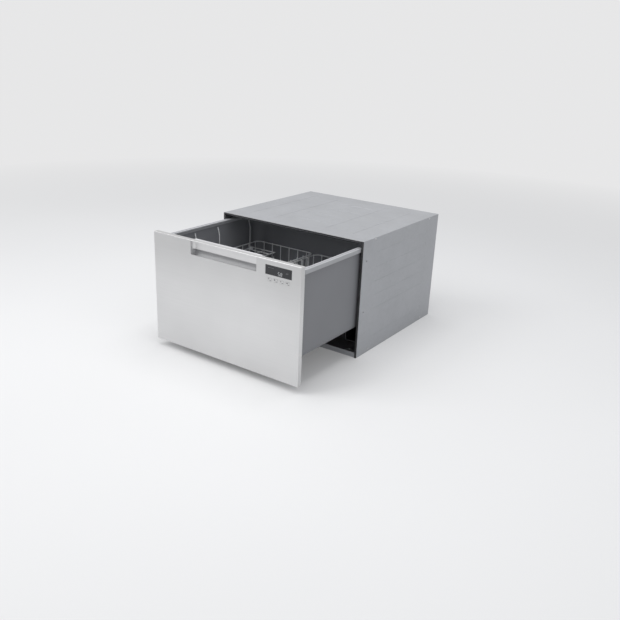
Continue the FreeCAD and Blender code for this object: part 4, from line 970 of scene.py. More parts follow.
    def window(self) -> None:
        """The display's window, flush in the skin, with its flange behind."""
        x0, x1, z0, z1 = self.display
        pane = block("display_window", (x0 + 0.00012, PANEL_FACE + 0.0002, z0 + 0.00012),
                     (x1 - 0.00012, PANEL_FACE + 0.0012, z1 - 0.00012))
        round_off(pane, 0.0006, 3, lying_deep)
        soften(pane, 0.00015)
        flange = block("flange", (x0 - 0.003, PANEL_FACE + 0.001, z0 - 0.003),
                       (x1 + 0.003, PANEL_FACE + 0.0024, z1 + 0.003))
        smooth(join("display_window", [pane, flange]))
        dress(pane, self.finishes.lens, "drawer", ["display_lens"])

    def stroke(self, name: str, x0: float, x1: float, z0: float, z1: float,
               proud: float = 0.00004, face: float = PANEL_FACE + 0.0002) -> Piece:
        """One flat printed or lit stroke on a face."""
        piece = block(name, (x0, face - proud, z0), (x1, face + 0.0001, z1))
        return round_off(piece, min(x1 - x0, z1 - z0) * 0.3, 2, lying_deep)

    def readout(self) -> None:
        """Two lit digits and the faint small marks round them."""
        segments = {"a": (0, 2, 1, 2), "g": (0, 1, 1, 1), "d": (0, 0, 1, 0),
                    "f": (0, 1, 0, 2), "b": (1, 1, 1, 2), "e": (0, 0, 0, 1), "c": (1, 0, 1, 1)}
        wide, tall, thick = 0.0052, 0.0049, 0.0010
        strokes = []
        for origin, lit in ((0.2158, "afgcd"), (0.2244, "abcdefg")):
            for key in lit:
                i0, j0, i1, j1 = segments[key]
                x0, x1 = origin + i0 * wide, origin + i1 * wide
                z0, z1 = 0.3622 + j0 * tall, 0.3622 + j1 * tall
                gap = 0.00075
                if i0 == i1:
                    strokes.append(self.stroke("bar", x0 - thick / 2, x0 + thick / 2,
                                               z0 + gap, z1 - gap))
                else:
                    strokes.append(self.stroke("bar", x0 + gap, x1 - gap,
                                               z0 - thick / 2, z0 + thick / 2))
        digits = join("display_digits", strokes)
        dress(digits, self.finishes.segment, "drawer")
        rows = [(0.1790, 0.1835), (0.1845, 0.1880), (0.1890, 0.1950), (0.1960, 0.1995)]
        small = [self.stroke("dash", a, b, 0.3802, 0.3809) for a, b in rows]
        small += [self.stroke("dash", 0.2440, 0.2530, 0.3742, 0.3750),
                  self.stroke("dash", 0.2440, 0.2490, 0.3726, 0.3732)]
        dress(join("display_marks", small), self.finishes.faint, "drawer")

    def key(self, name: str, x: float) -> None:
        """One push key: a dished cap, its stop flange and its stem."""
        cap = self.key_blank("key_cap_" + name, x, 0.0, -0.0003, 0.00145)
        with editing(cap) as mesh:
            choose_faces(cap, mesh, lambda middle, normal: normal.y < -0.99)
            bpy.ops.mesh.inset(thickness=0.0006, depth=0.0)
            bpy.ops.mesh.inset(thickness=0.0009, depth=-0.00012)
        soften(cap, 0.00016, 2, 60.0)
        flange = self.key_blank("flange", x, 0.0012, 0.00135, 0.00255)
        stem = round_bar("stem", (x, PANEL_FACE + 0.0013, self.key_z),
                         (x, PANEL_FACE + 0.0058, self.key_z), 0.002, 20)
        smooth(join("key_cap_" + name, [cap, flange, stem]))
        dress(cap, self.finishes.front, "key_" + name, ["key_" + name])

    def key_mark(self, name: str, x: float, index: int) -> None:
        """A key's plain printed sign and the short dash beside it."""
        face = PANEL_FACE - 0.00018
        left, top, long, thin = x - 0.0027, self.key_z + 0.0015, 0.0022, 0.0005

        def bar(u0: float, u1: float, v0: float, v1: float) -> Piece:
            """One stroke, its corners counted from the sign's middle."""
            return self.stroke("bar", left + u0, left + u1, top + v0, top + v1, face=face)

        if index == 0:
            ring = turned_piece("ring", [(0.0012, 0.0), (0.0021, 0.0), (0.0021, 0.00014),
                                         (0.0012, 0.00014), (0.0012, 0.0)],
                                (left, face - 0.00004, top), 20, "Y")
            bars = [ring, bar(-thin, thin, 0.0, 0.0026)]
        elif index == 1:
            bars = [bar(-long, long, step - thin, step + thin) for step in (-0.0016, 0.0, 0.0016)]
        elif index == 2:
            bars = [bar(-long, long, -thin, thin), bar(-thin, thin, 0.0007, long),
                    bar(-thin, thin, -long, -0.0007)]
        else:
            arrow = extruded("arrow", [(left - long, top - 0.0018), (left + 0.0004, top),
                                       (left - long, top + 0.0018)], "XZ",
                             face - 0.00004, face + 0.0001)
            bars = [arrow] + [bar(start, start + 2 * thin, -0.0018, 0.0018)
                              for start in (0.0008, 0.0020)]
        bars.append(self.stroke("dash", x + 0.0008, x + 0.0056, self.key_z - 0.0036,
                                self.key_z - 0.0022, face=face))
        dress(join("key_sign_" + name, bars), self.finishes.ink, "key_" + name)

    def screws(self) -> None:
        """The countersunk screws round the back of the panel."""
        made = [Fasteners.countersunk((x, PANEL_BACK, z))
                for x in (-0.2905, 0.2905) for z in (0.060, 0.200, 0.350)]
        dress(join("front_screw_set", made), self.finishes.screw, "drawer",
              ["front_screws"])


class Fasteners:
    """Screw heads with a cross recess."""

    @staticmethod
    def head(profile: Outline, recess: Point, stand: Matrix) -> Piece:
        """One screw: turned, cut with a cross-shaped bit, then put in its place.

        Args:
            profile: radius and height pairs.
            recess: the cross's radius and depth, and the height of its middle.
            stand: the matrix that puts it in its place.

        Returns:
            The screw.
        """
        made = turned_piece("screw", profile, NOWHERE, 24)
        radius, depth, lift = recess
        narrow = radius * 0.17
        bit = block("bit", (-radius, -narrow, -depth), (radius, narrow, depth))
        weld(bit, [block("bit", (-narrow, -radius, -depth), (narrow, radius, depth))])
        bit.data.transform(Matrix.Translation((0.0, 0.0, lift)))
        cut(made, [bit])
        made.data.transform(stand)
        return made

    @classmethod
    def pan_head(cls, place: Point, sign: float) -> Piece:
        """A pan head standing out of a side sheet, to the right for 1 and to the left for -1."""
        profile = [(0.0, 0.00100), (0.0018, 0.00096), (0.0030, 0.00075), (0.0038, 0.00035),
                   (0.0040, 0.0), (0.0019, 0.0), (0.0019, -0.0030), (0.0, -0.0033)]
        turn = Matrix.Rotation(math.radians(90.0) * sign, 4, "Y")
        return cls.head(profile, (0.0021, 0.0006, 0.0011), Matrix.Translation(place) @ turn)

    @classmethod
    def countersunk(cls, place: Point) -> Piece:
        """A countersunk screw whose flat head faces the back."""
        profile = [(0.0, 0.0), (0.0039, 0.0), (0.0040, -0.0002), (0.0020, -0.0022),
                   (0.0020, -0.0060), (0.0, -0.0060)]
        turn = Matrix.Rotation(math.radians(-90.0), 4, "X")
        return cls.head(profile, (0.0022, 0.0010, 0.0002), Matrix.Translation(place) @ turn)


# ---- the tub
@dataclass
class Tub(Section):
    """The moulded tub with its rim, ledges and beaded floor."""

    half: float = 0.2835
    wall: float = 0.0035
    under: float = 0.107
    floor: float = 0.1105
    line_z: float = 0.1165
    rim_top: float = 0.387
    rim_half: float = 0.2895
    rim_low: float = 0.383
    skirt_low: float = 0.373
    mouth_half: float = 0.2735
    corner: float = 0.034
    sump_radius: float = 0.095
    ledge_x: tuple[float, float] = (0.012, 0.246)
    window: Span = (0.068, 0.204, 0.217, 0.323)

    def ring_block(self, name: str, half: float, front: float, rear: float, low: float,
                   high: float, corner: float, segments: int) -> Piece:
        """A box with its four upright corners rounded."""
        made = block(name, (-half, front, low), (half, rear, high))
        return round_off(made, corner, segments, upright)

    def build(self) -> None:
        """Make the tub."""
        front, rear = TUB_FRONT, TUB_REAR
        body = self.ring_block("tub_shell", self.half, front, rear, self.under, self.rim_low + 0.001,
                               0.008, 6)
        round_off(body, 0.006, 4, at("z", self.under))
        rim = self.ring_block("rim", self.rim_half, front - 0.004, rear + 0.006, self.rim_low,
                              self.rim_top, 0.009, 6)
        round_off(rim, 0.0019, 5, at("z", self.rim_top))
        skirt = self.ring_block("skirt", self.rim_half, front - 0.004, rear + 0.006,
                                self.skirt_low, self.rim_low + 0.0005, 0.009, 6)
        inner = self.ring_block("inner", self.rim_half - 0.0018, front - 0.0022, rear + 0.0042,
                                self.skirt_low - PAST, self.rim_low, 0.0072, 6)
        cut(skirt, [inner])
        weld(body, [rim, skirt])
        cavity = self.ring_block("cavity", self.half - self.wall, front + self.wall,
                                 rear - self.wall, self.floor, self.rim_low, self.corner, 12)
        round_off(cavity, 0.012, 6, at("z", self.floor))
        mouth = self.ring_block("mouth", self.mouth_half, front + 0.010, rear - 0.010,
                                self.rim_low - 0.002, self.rim_top + PAST, self.corner - 0.004, 12)
        cut(body, [cavity, mouth])
        cut(body, [self.seal_groove(), self.sump_hole(), self.window_hole()])
        cut(body, [self.parting_line()])
        round_off(body, 0.0012, 3, self.on_mouth_edge)
        smooth(body, 28.0)
        parts = [body] + self.ledges() + self.floor_beads() + self.under_ribs()
        whole = join("tub_shell", parts)
        dress(whole, self.finishes.tub, "drawer", ["tub"])

    def on_mouth_edge(self, middle: Vector, along: Vector) -> bool:
        """True for the edges round the top of the tub's mouth."""
        near_x = abs(middle.x) < self.mouth_half + 1e-4
        near_y = TUB_FRONT + 0.0099 < middle.y < TUB_REAR - 0.0099
        return near_x and near_y and at("z", self.rim_top)(middle, along)

    def seal_groove(self) -> Piece:
        """The shallow groove round the rim's top that the seal lands in."""
        top = self.rim_top
        outer = self.ring_block("groove", 0.2842, TUB_FRONT + 0.0006, TUB_REAR + 0.0006,
                                top - 0.0011, top + 0.004, 0.026, 10)
        inner = self.ring_block("land", 0.2806, TUB_FRONT + 0.0042, TUB_REAR - 0.0030,
                                top - 0.004, top + 0.008, 0.0225, 10)
        return cut(outer, [inner])

    def sump_hole(self) -> Piece:
        """The round hole over the sump."""
        return round_bar("sump_hole", (0.0, SUMP_Y, self.under - PAST),
                         (0.0, SUMP_Y, self.floor + PAST), self.sump_radius, 64)

    def window_hole(self) -> Piece:
        """The hole for the dispenser in the front wall."""
        x0, x1, z0, z1 = self.window
        return block("window", (x0, TUB_FRONT - PAST, z0), (x1, TUB_FRONT + PAST, z1))

    def parting_line(self) -> Piece:
        """The fine mould-parting line round the outside, low on the walls."""
        z = self.line_z
        outer = block("line", (-self.half - PAST, TUB_FRONT - PAST, z),
                      (self.half + PAST, TUB_REAR + PAST, z + 0.0007))
        inner = self.ring_block("core", self.half - 0.0005, TUB_FRONT + 0.0005,
                                TUB_REAR - 0.0005, z - PAST, z + PAST, 0.0076, 6)
        return cut(outer, [inner])

    def ledges(self) -> list[Piece]:
        """The eight brackets in the corners that carry the racks."""
        made = []
        for x in self.ledge_x:
            for y0, y1 in ((TUB_FRONT + self.wall - 0.001, TUB_FRONT + self.wall + 0.016),
                           (TUB_REAR - self.wall - 0.016, TUB_REAR - self.wall + 0.001)):
                ledge = block("ledge", (x, y0, 0.140), (x + 0.022, y1, 0.150))
                with editing(ledge) as mesh:
                    choose_faces(ledge, mesh, lambda middle, normal: normal.z < -0.9)
                    bpy.ops.transform.resize(value=(0.8, 0.55, 1.0))
                made += twins(smooth(soften(ledge, 0.0011, 3), 45.0), "ledge")
        return made

    def floor_beads(self) -> list[Piece]:
        """The low beads in the floor that lead the water to the sump."""
        made = []
        for step in range(12):
            angle = math.radians(30.0 * step + 15.0)
            reach = 0.205 if abs(math.sin(angle)) < 0.9 else 0.185
            start = (0.125 * math.cos(angle), SUMP_Y + 0.125 * math.sin(angle), self.floor - 0.0011)
            end = (reach * math.cos(angle), SUMP_Y + reach * math.sin(angle), self.floor - 0.0008)
            made.append(smooth(soften(round_bar("bead", start, end, 0.0026, 16), 0.0012, 3), 45.0))
        return made

    def under_ribs(self) -> list[Piece]:
        """The crossing ribs moulded under the floor, clear of the cradle."""
        return [soften(block("rib", (x - 0.0012, TUB_FRONT + 0.085, self.under - 0.0030),
                             (x + 0.0012, TUB_REAR - 0.125, self.under + 0.0008)), 0.0004)
                for x in (-0.195, -0.150, 0.150, 0.195)]


# ---- the racks
@dataclass
class Racks(Section):
    """Both rack halves, their folding rows and cup shelves, and the basket."""

    wire: float = 0.0016
    frame_wire: float = 0.0022
    inner: float = 0.0044
    outer: float = 0.270
    front: float = -0.246 - OUT
    rear: float = 0.210 - OUT
    floor: float = 0.150
    loop_z: float = 0.276
    lean_z: float = 0.342
    top_z: float = 0.368
    tall_y: tuple[float, ...] = (-0.133 - OUT, -0.016 - OUT, 0.156 - OUT)
    fixed_x: float = 0.0744
    fold: tuple[float, float] = (0.1544, 0.166)
    cup: tuple[float, float] = (0.253, 0.262)
    cup_reach: float = 0.104
    tine_top: float = 0.244

    @staticmethod
    def spread(start: float, end: float, pitch: float) -> list[float]:
        """Evenly spaced places between two ends, at about the given pitch."""
        count = max(1, round((end - start) / pitch))
        return [start + (end - start) * step / count for step in range(count + 1)]

    def build(self) -> None:
        """Make both halves and what folds on them."""
        for maker, stem, bodies in ((self.half_rack, "rack", "drawer"),
                                    (self.folding_row, "tine_row", "tine_row_*"),
                                    (self.cup_shelf, "cup_rack", "cup_rack_*")):
            dress_twins(maker(), stem + "_wires_left", self.finishes.wire, bodies,
                        stem + "_*")
        self.basket()

    def low_z(self) -> float:
        """The height of the cross wires on the rack's floor."""
        return self.floor + 2 * self.frame_wire + self.wire

    def high_z(self) -> float:
        """The height of the long wires, which lie on the cross wires."""
        return self.low_z() + 2 * self.wire

    def loops(self) -> Piece:
        """The two thicker loops, floor and top."""
        low, high = self.inner + self.frame_wire, self.outer - self.frame_wire
        runs = []
        for z in (self.floor + self.frame_wire, self.loop_z):
            middle = (low + high) / 2
            corners = [(middle, self.front, z), (high, self.front, z), (high, self.rear, z),
                       (low, self.rear, z), (low, self.front, z), (middle, self.front, z)]
            path = bent_path(corners, [0.022] * 4, 8)
            runs.append((path[:-1], True))
        return tubes("loops", runs, self.frame_wire, 3)

    def half_rack(self) -> Piece:
        """The wires of one half, its tines, welds and clips."""
        near = self.inner + 2 * self.frame_wire + self.wire
        far = self.outer - 2 * self.frame_wire - self.wire
        low, high, top = self.low_z(), self.high_z(), self.loop_z + 0.003
        runs = []
        cross_y = self.spread(self.front + 0.022, self.rear - 0.022, 0.038)
        for y in cross_y:
            runs.append((bent_path([(near, y, top), (near, y, low), (far, y, low), (far, y, top)],
                                   [0.009] * 2), False))
        y0, y1 = self.front + self.frame_wire + self.wire, self.rear - self.frame_wire - self.wire
        long_x = self.spread(self.fixed_x - 0.040, self.fixed_x + 0.160, 0.040)
        for x in long_x:
            runs.append((bent_path([(x, y0, top), (x, y0, high), (x, y1, high), (x, y1, top)],
                                   [0.014] * 2), False))
        for y in self.tall_y:
            runs.append((bent_path([(far, y, self.floor + 0.001), (far, y, self.lean_z),
                                    (self.outer + 0.001, y, self.top_z)], [0.009]), False))
        tines_y = self.spread(self.front + 0.026, self.rear - 0.026, 0.020)
        runs += [straight((self.fixed_x, y, high), (self.fixed_x, y, self.tine_top))
                 for y in tines_y]
        parts = [self.loops(), tubes("wires", runs, self.wire)]
        parts += self.tips([(self.fixed_x, y, self.tine_top) for y in tines_y]
                           + [(far, y, top) for y in cross_y] + [(near, y, top) for y in cross_y]
                           + [(x, y, top) for x in long_x for y in (y0, y1)]
                           + [(self.outer + 0.001, y, self.top_z) for y in self.tall_y])
        parts += self.clips(cross_y)
        return join("rack_wires_right", parts)

    def tips(self, places: Sequence[Point]) -> list[Piece]:
        """The dipped round ends of wires."""
        deselect()
        bpy.ops.mesh.primitive_uv_sphere_add(segments=10, ring_count=6, radius=self.wire * 1.12,
                                             location=(0.0, 0.0, 0.0))
        first = smooth(settle(bpy.context.active_object, "tip"), 180.0)
        made = [copy_of(first, "tip", moved=place) for place in places]
        remove(first)
        return made

    def clips(self, cross_y: Sequence[float]) -> list[Piece]:
        """The snap clips that hold the folding row and the cup shelf."""
        made = []
        low, far = self.high_z() + self.wire, self.outer - 2 * self.frame_wire - 2 * self.wire
        kinds = ((self.fold, (-0.206 - OUT, -0.026 - OUT, 0.174 - OUT), 0.004, low,
                  (self.fold[0] + 0.005, self.fold[1] + 0.005), 0.0021, 0.0009),
                 (self.cup, (cross_y[1], cross_y[6], cross_y[10]), 0.005, self.cup[1] - 0.006,
                  (far, self.cup[1] + 0.006), 0.0026, 0.0011))
        for (x, z), places, half, foot, (side, head), bore, round_edge in kinds:
            for y in places:
                clip = block("clip", (x - 0.005, y - half, foot), (side, y + half, head))
                cut(clip, [round_bar("bore", (x, y - PAST, z), (x, y + PAST, z), bore, 20)])
                made.append(smooth(soften(clip, round_edge, 3), 50.0))
        return made

    def folding_row(self) -> Piece:
        """The row of tines that lies down on its pivot wire."""
        x, z = self.fold
        y0, y1 = -0.214 - OUT, 0.182 - OUT
        pivot = tubes("pivot", [straight((x, y0, z), (x, y1, z))], 0.002, 3)
        places = self.spread(-0.196 - OUT, 0.164 - OUT, 0.020)
        tines = tubes("tines", [straight((x, y, z), (x, y, self.tine_top)) for y in places],
                      self.wire)
        return join("tine_row_wires_right",
                    [pivot, tines] + self.tips([(x, y, self.tine_top) for y in places]))

    def cup_shelf(self) -> Piece:
        """The fold-up cup shelf: ribs between its pivot and its front rail, with a grip edge."""
        x, z = self.cup
        tip = x - self.cup_reach
        y0, y1 = -0.200 - OUT, 0.164 - OUT
        pivot = tubes("pivot", [straight((x, y0, z), (x, y1, z))], 0.0025, 3)
        rail = tubes("rail", [straight((tip, y0, z), (tip, y1, z))], 0.0022, 3)
        ribs = [straight((x, y, z), (tip, y, z))
                for y in self.spread(y0 + 0.0022, y1 - 0.0022, 0.030)]
        middle, under = (x + tip) / 2, z - 2 * self.wire
        ribs.append(straight((middle, y0 + 0.006, under), (middle, y1 - 0.006, under)))
        return join("cup_rack_wires_right", [pivot, rail, tubes("ribs", ribs, self.wire)])

    def basket(self) -> None:
        """The cutlery basket: slotted walls, a divider and a carrying handle."""
        x0, x1, y0, y1 = 0.014, 0.068, -0.226 - OUT, -0.108 - OUT
        low, high = self.high_z() + self.wire, 0.256
        shell = round_off(block("basket", (x0, y0, low), (x1, y1, high)), 0.006, 5, upright)
        room = round_off(block("room", (x0 + 0.002, y0 + 0.002, low + 0.002),
                               (x1 - 0.002, y1 - 0.002, high + PAST)), 0.004, 4, upright)
        cut(shell, [room])
        across, along = [], []
        for row in range(4):
            z = 0.172 + 0.016 * row
            for step in range(8):
                y = y0 + 0.012 + 0.012 * step
                bit = block("slot", (x0 - PAST, y, z), (x1 + PAST, y + 0.007, z + 0.010))
                across.append(round_off(bit, 0.0022, 3, lying_across))
            for step in range(3):
                x = x0 + 0.008 + 0.014 * step
                bit = block("slot", (x, y0 - PAST, z), (x + 0.008, y1 + PAST, z + 0.010))
                along.append(round_off(bit, 0.0022, 3, lying_deep))
        cut(shell, [join("slots_across", across), join("slots_along", along)])
        middle_y, middle_x = (y0 + y1) / 2, (x0 + x1) / 2
        divider = block("divider", (x0 + 0.001, middle_y - 0.001, low + 0.001),
                        (x1 - 0.001, middle_y + 0.001, high - 0.006))
        band = self.rim_band(x0, x1, y0, y1, high)
        posts = [soften(block("post", (middle_x - 0.006, y, high - 0.020),
                              (middle_x + 0.006, y + 0.0025, high + 0.026)), 0.0008)
                 for y in (y0 + 0.001, y1 - 0.0035)]
        bridge = round_off(block("bridge", (middle_x - 0.008, y0 + 0.001, high + 0.022),
                                 (middle_x + 0.008, y1 - 0.001, high + 0.030)), 0.0032, 5,
                           lying_deep)
        soften(shell, 0.00035, 1, 50.0)
        basket = join("basket_moulding", [smooth(part, 35.0)
                                          for part in (shell, divider, band, bridge, *posts)])
        dress(basket, self.finishes.basket, "drawer", ["cutlery_basket"])

    @staticmethod
    def rim_band(x0: float, x1: float, y0: float, y1: float, high: float) -> Piece:
        """The thicker band round the basket's top edge."""
        outer = round_off(block("band", (x0 - 0.0008, y0 - 0.0008, high - 0.006),
                                (x1 + 0.0008, y1 + 0.0008, high)), 0.0066, 5, upright)
        inner = round_off(block("gap", (x0 + 0.0022, y0 + 0.0022, high - 0.02),
                                (x1 - 0.0022, y1 - 0.0022, high + PAST)), 0.004, 4, upright)
        return soften(cut(outer, [inner]), 0.0006, 2, 50.0)


# ---- the dispenser
@dataclass
class Dispenser(Section):
    """The detergent and rinse-aid unit in the tub's front wall."""

    face: float = TUB_INSIDE_FACE
    frame: Span = (0.062, 0.210, 0.211, 0.329)
    hole: Span = (0.068, 0.204, 0.217, 0.323)
    cap_at: tuple[float, float] = (0.178, 0.309)

    def plate(self, name: str, spans: Span, near: float,
              far: float, corner: float) -> Piece:
        """A round-cornered slab on the wall, from near to far behind its face."""
        x0, x1, z0, z1 = spans
        made = block(name, (x0, self.face + near, z0), (x1, self.face + far, z1))
        return round_off(made, corner, 6, lying_deep)

    def build(self) -> None:
        """Make the body, its sliding lid and the rinse cap."""
        x0, x1, z0, z1 = self.frame
        flange = soften(self.plate("dispenser_frame", self.frame, 0.0, 0.002, 0.008), 0.0007, 3)
        h0, h1, h2, h3 = self.hole
        case = block("case", (h0 + 0.0002, PANEL_BACK + 0.0015, h2 + 0.0002),
                     (h1 - 0.0002, self.face + 0.0005, h3 - 0.0002))
        cut(flange, [self.plate("slot", (x0 + 0.018, x1 - 0.018, 0.3185, 0.3205),
                                0.0012, 0.004, 0.0009)])
        weld(flange, [case])
        cup = self.plate("cup", (x0 + 0.012, x0 + 0.064, 0.230, 0.282), -0.0135, 0.004, 0.009)
        round_off(cup, 0.004, 4, at("y", self.face - 0.0135))
        x, z = self.cap_at
        tank = round_bar("tank", (x, self.face - 0.012, z), (x, self.face + 0.004, z), 0.0114, 40)
        cut(flange, [cup, tank])
        guides = [block("guide", (x0 + 0.004, self.face + near, low),
                        (x1 - 0.004, self.face + 0.0054, low + tall))
                  for low, near, tall in ((0.2196, 0.0018, 0.0024), (0.2910, 0.0018, 0.0024),
                                          (0.2196, 0.0044, 0.0034), (0.2900, 0.0044, 0.0034))]
        body = join("dispenser_frame", [smooth(flange, 35.0)]
                    + [soften(guide, 0.0004) for guide in guides])
        dress(body, self.finishes.cup, "drawer", ["dispenser_body"])
        self.sliding_lid(x0 + 0.007)
        self.rinse_cap(x, z)

    def sliding_lid(self, x0: float) -> None:
        """The lid that slides over the detergent cup."""
        slab = self.plate("dispenser_slide", (x0, x0 + 0.062, 0.2224, 0.2906), 0.0023, 0.0042,
                          0.0015)
        pad = self.plate("pad", (x0 + 0.004, x0 + 0.058, 0.226, 0.287), 0.0040, 0.0056, 0.005)
        dish = self.plate("dish", (x0 + 0.040, x0 + 0.055, 0.238, 0.275), 0.0050, 0.0070, 0.004)
        cut(pad, [dish])
        grips = [self.plate("grip", (x0 + 0.0425 + 0.0036 * step, x0 + 0.0440 + 0.0036 * step,
                                     0.241, 0.272), 0.0048, 0.0062, 0.0006) for step in range(3)]
        parts = [smooth(soften(part, 0.0004), 40.0) for part in (slab, pad, *grips)]
        dress(join("dispenser_slide", parts), self.finishes.lid, "dispenser_lid",
              ["dispenser_lid"])

    def rinse_cap(self, x: float, z: float) -> None:
        """The twist cap of the rinse-aid tank."""
        profile = [(0.0, -0.006), (0.0108, -0.006), (0.0110, 0.0021), (0.0139, 0.0022),
                   (0.0140, 0.0038), (0.0134, 0.0046), (0.0110, 0.0047), (0.0100, 0.0040),
                   (0.0, 0.0038)]
        cap = turned_piece("rinse_twist", profile, (x, self.face, z), 56, "Y")
        bar = self.plate("bar", (x - 0.0108, x + 0.0108, z - 0.002, z + 0.002), 0.0034, 0.0074,
                         0.0019)
        round_off(bar, 0.0010, 3, at("y", self.face + 0.0074))
        whole = join("rinse_twist", [cap, smooth(bar, 40.0)])
        dress(whole, self.finishes.cap, "rinse_cap", ["rinse_cap"])


# ---- washing gear
@dataclass
class Washing(Section):
    """The spray arm in the tub, and the hoses under it."""

    arm_low: float = 0.129
    reach: float = 0.215

    def build(self) -> None:
        """Make the arm, the drain hose and the service loop."""
        self.arm()
        self.drain_hose()
        self.service_loop()

    def arm(self) -> None:
        """Two swept hollow blades on a hub, with raised jets."""
        low, high = self.arm_low, self.arm_low + 0.012
        outline: list[tuple[float, float]] = []
        for sign in (1.0, -1.0):
            for step in range(17):
                angle = math.pi * (step / 16 - 0.5)
                outline.append((sign * (self.reach - 0.017 + 0.017 * math.cos(angle)),
                                SUMP_Y + sign * 0.017 * math.sin(angle)))
            outline.append((0.0, SUMP_Y + sign * 0.028))
        blade = extruded("wash_arm", outline, "XY", low, high)
        round_off(blade, 0.0035, 5, at("z", high))
        round_off(blade, 0.0012, 3, at("z", low))
        seam = extruded("seam", [(x * 1.02, SUMP_Y + (y - SUMP_Y) * 1.2) for x, y in outline],
                        "XY", low + 0.0048, low + 0.0054)
        core = extruded("core", [(x * 0.998, SUMP_Y + (y - SUMP_Y) * 0.975) for x, y in outline],
                        "XY", low, high)
        cut(seam, [core])
        cut(blade, [seam])
        hub = turned_piece("hub", [(0.0, -0.003), (0.021, -0.003), (0.022, -0.002), (0.022, 0.0125),
                                   (0.0205, 0.0145), (0.012, 0.0160), (0.0, 0.0165)],
                           (0.0, SUMP_Y, low), 56)
        bore = round_bar("bore", (0.0, SUMP_Y, low - 0.004), (0.0, SUMP_Y, 0.1361), 0.01208, 48)
        weld(blade, [hub])
        cut(blade, [bore])
        parts = [smooth(blade, 35.0)]
        profile = [(0.0010, 0.0), (0.0042, -0.0002), (0.0036, 0.0011), (0.0024, 0.0014),
                   (0.0013, 0.0009), (0.0010, 0.0)]
        for reach in (0.055, 0.090, 0.125, 0.160, 0.190):
            for sign in (1.0, -1.0):
                parts.append(turned_piece("jet", profile, (sign * reach, SUMP_Y + sign * 0.006,
                                                           high - 0.0001), 20))
        dress(join("wash_arm", parts), self.finishes.arm, "spray_arm",
              ["spray_arm"])

    def drain_hose(self) -> None:
        """The ribbed hose from sump to drain pump, with a worm clamp at each end."""
        y, z, x = SUMP_Y + 0.030, 0.080, -0.170
        far = 0.190 - OUT - 0.026
        path = bent_path([(-0.1178, y, z), (x, y, z), (x, far, z)], [0.036], 24)
        pipe = tubes("drain_pipe", [(path, False)], 0.0105, 6)
        rings = []
        for near, onward in zip(path[3:-3], path[4:-2]):
            if min((near - path[0]).length, (near - path[-1]).length) > 0.008:
                along = (onward - near).normalized() * 0.0006
                rings.append(straight(near - along, near + along))
        run = (path[-1] - path[-2]).normalized()
        for step in range(40):
            spot = path[-1] - run * (0.016 + 0.0034 * step)
            if (spot - path[-2]).dot(run) > 0:
                rings.append(straight(spot - run * 0.0006, spot + run * 0.0006))
        ribs = tubes("ribs", rings, 0.0113, 6)
        dress(join("drain_pipe", [pipe, ribs]), self.finishes.hose, "drawer",
              ["drain_hose"])
        bands = [round_bar("clamp", (-0.1205, y, z), (-0.1265, y, z), 0.0114, 40),
                 round_bar("clamp", (x, far - 0.0025, z), (x, far - 0.0085, z), 0.0114, 40),
                 soften(block("worm", (-0.1275, y - 0.004, z + 0.0108),
                              (-0.1195, y + 0.004, z + 0.0150)), 0.0006),
                 soften(block("worm", (x - 0.004, far - 0.0095, z + 0.0108),
                              (x + 0.004, far - 0.0015, z + 0.0150)), 0.0006)]
        dress(join("hose_clamps", [smooth(band, 40.0) for band in bands]), self.finishes.screw,
              "drawer")

    def service_loop(self) -> None:
        """The corrugated conduit in its U, from its fixing at the back to the pump."""
        pump_y = 0.190 - OUT - 0.014
        path = bent_path([(-0.250, 0.238, 0.030), (-0.250, -0.212, 0.030),
                          (-0.170, -0.212, 0.030), (-0.170, pump_y, 0.030)], [0.039] * 2, 20)
        rings, walked, ahead = [], 0.0, 0.0
        for near, onward in zip(path, path[1:]):
            run = onward - near
            along = run.normalized()
            while ahead < walked + run.length:
                spot = near + along * (ahead - walked)
                rings.append(straight(spot - along * 0.0011, spot + along * 0.0011))
                ahead += 0.0048
            walked += run.length
        core = tubes("service_conduit", [(path, False)], 0.0088, 5)
        ribs = tubes("ribs", rings[1:-1], 0.0099, 5)
        conduit = join("service_conduit", [core, ribs])
        conduit.data.materials.append(self.finishes.hose)
        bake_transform(conduit)
        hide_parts("service_loop")


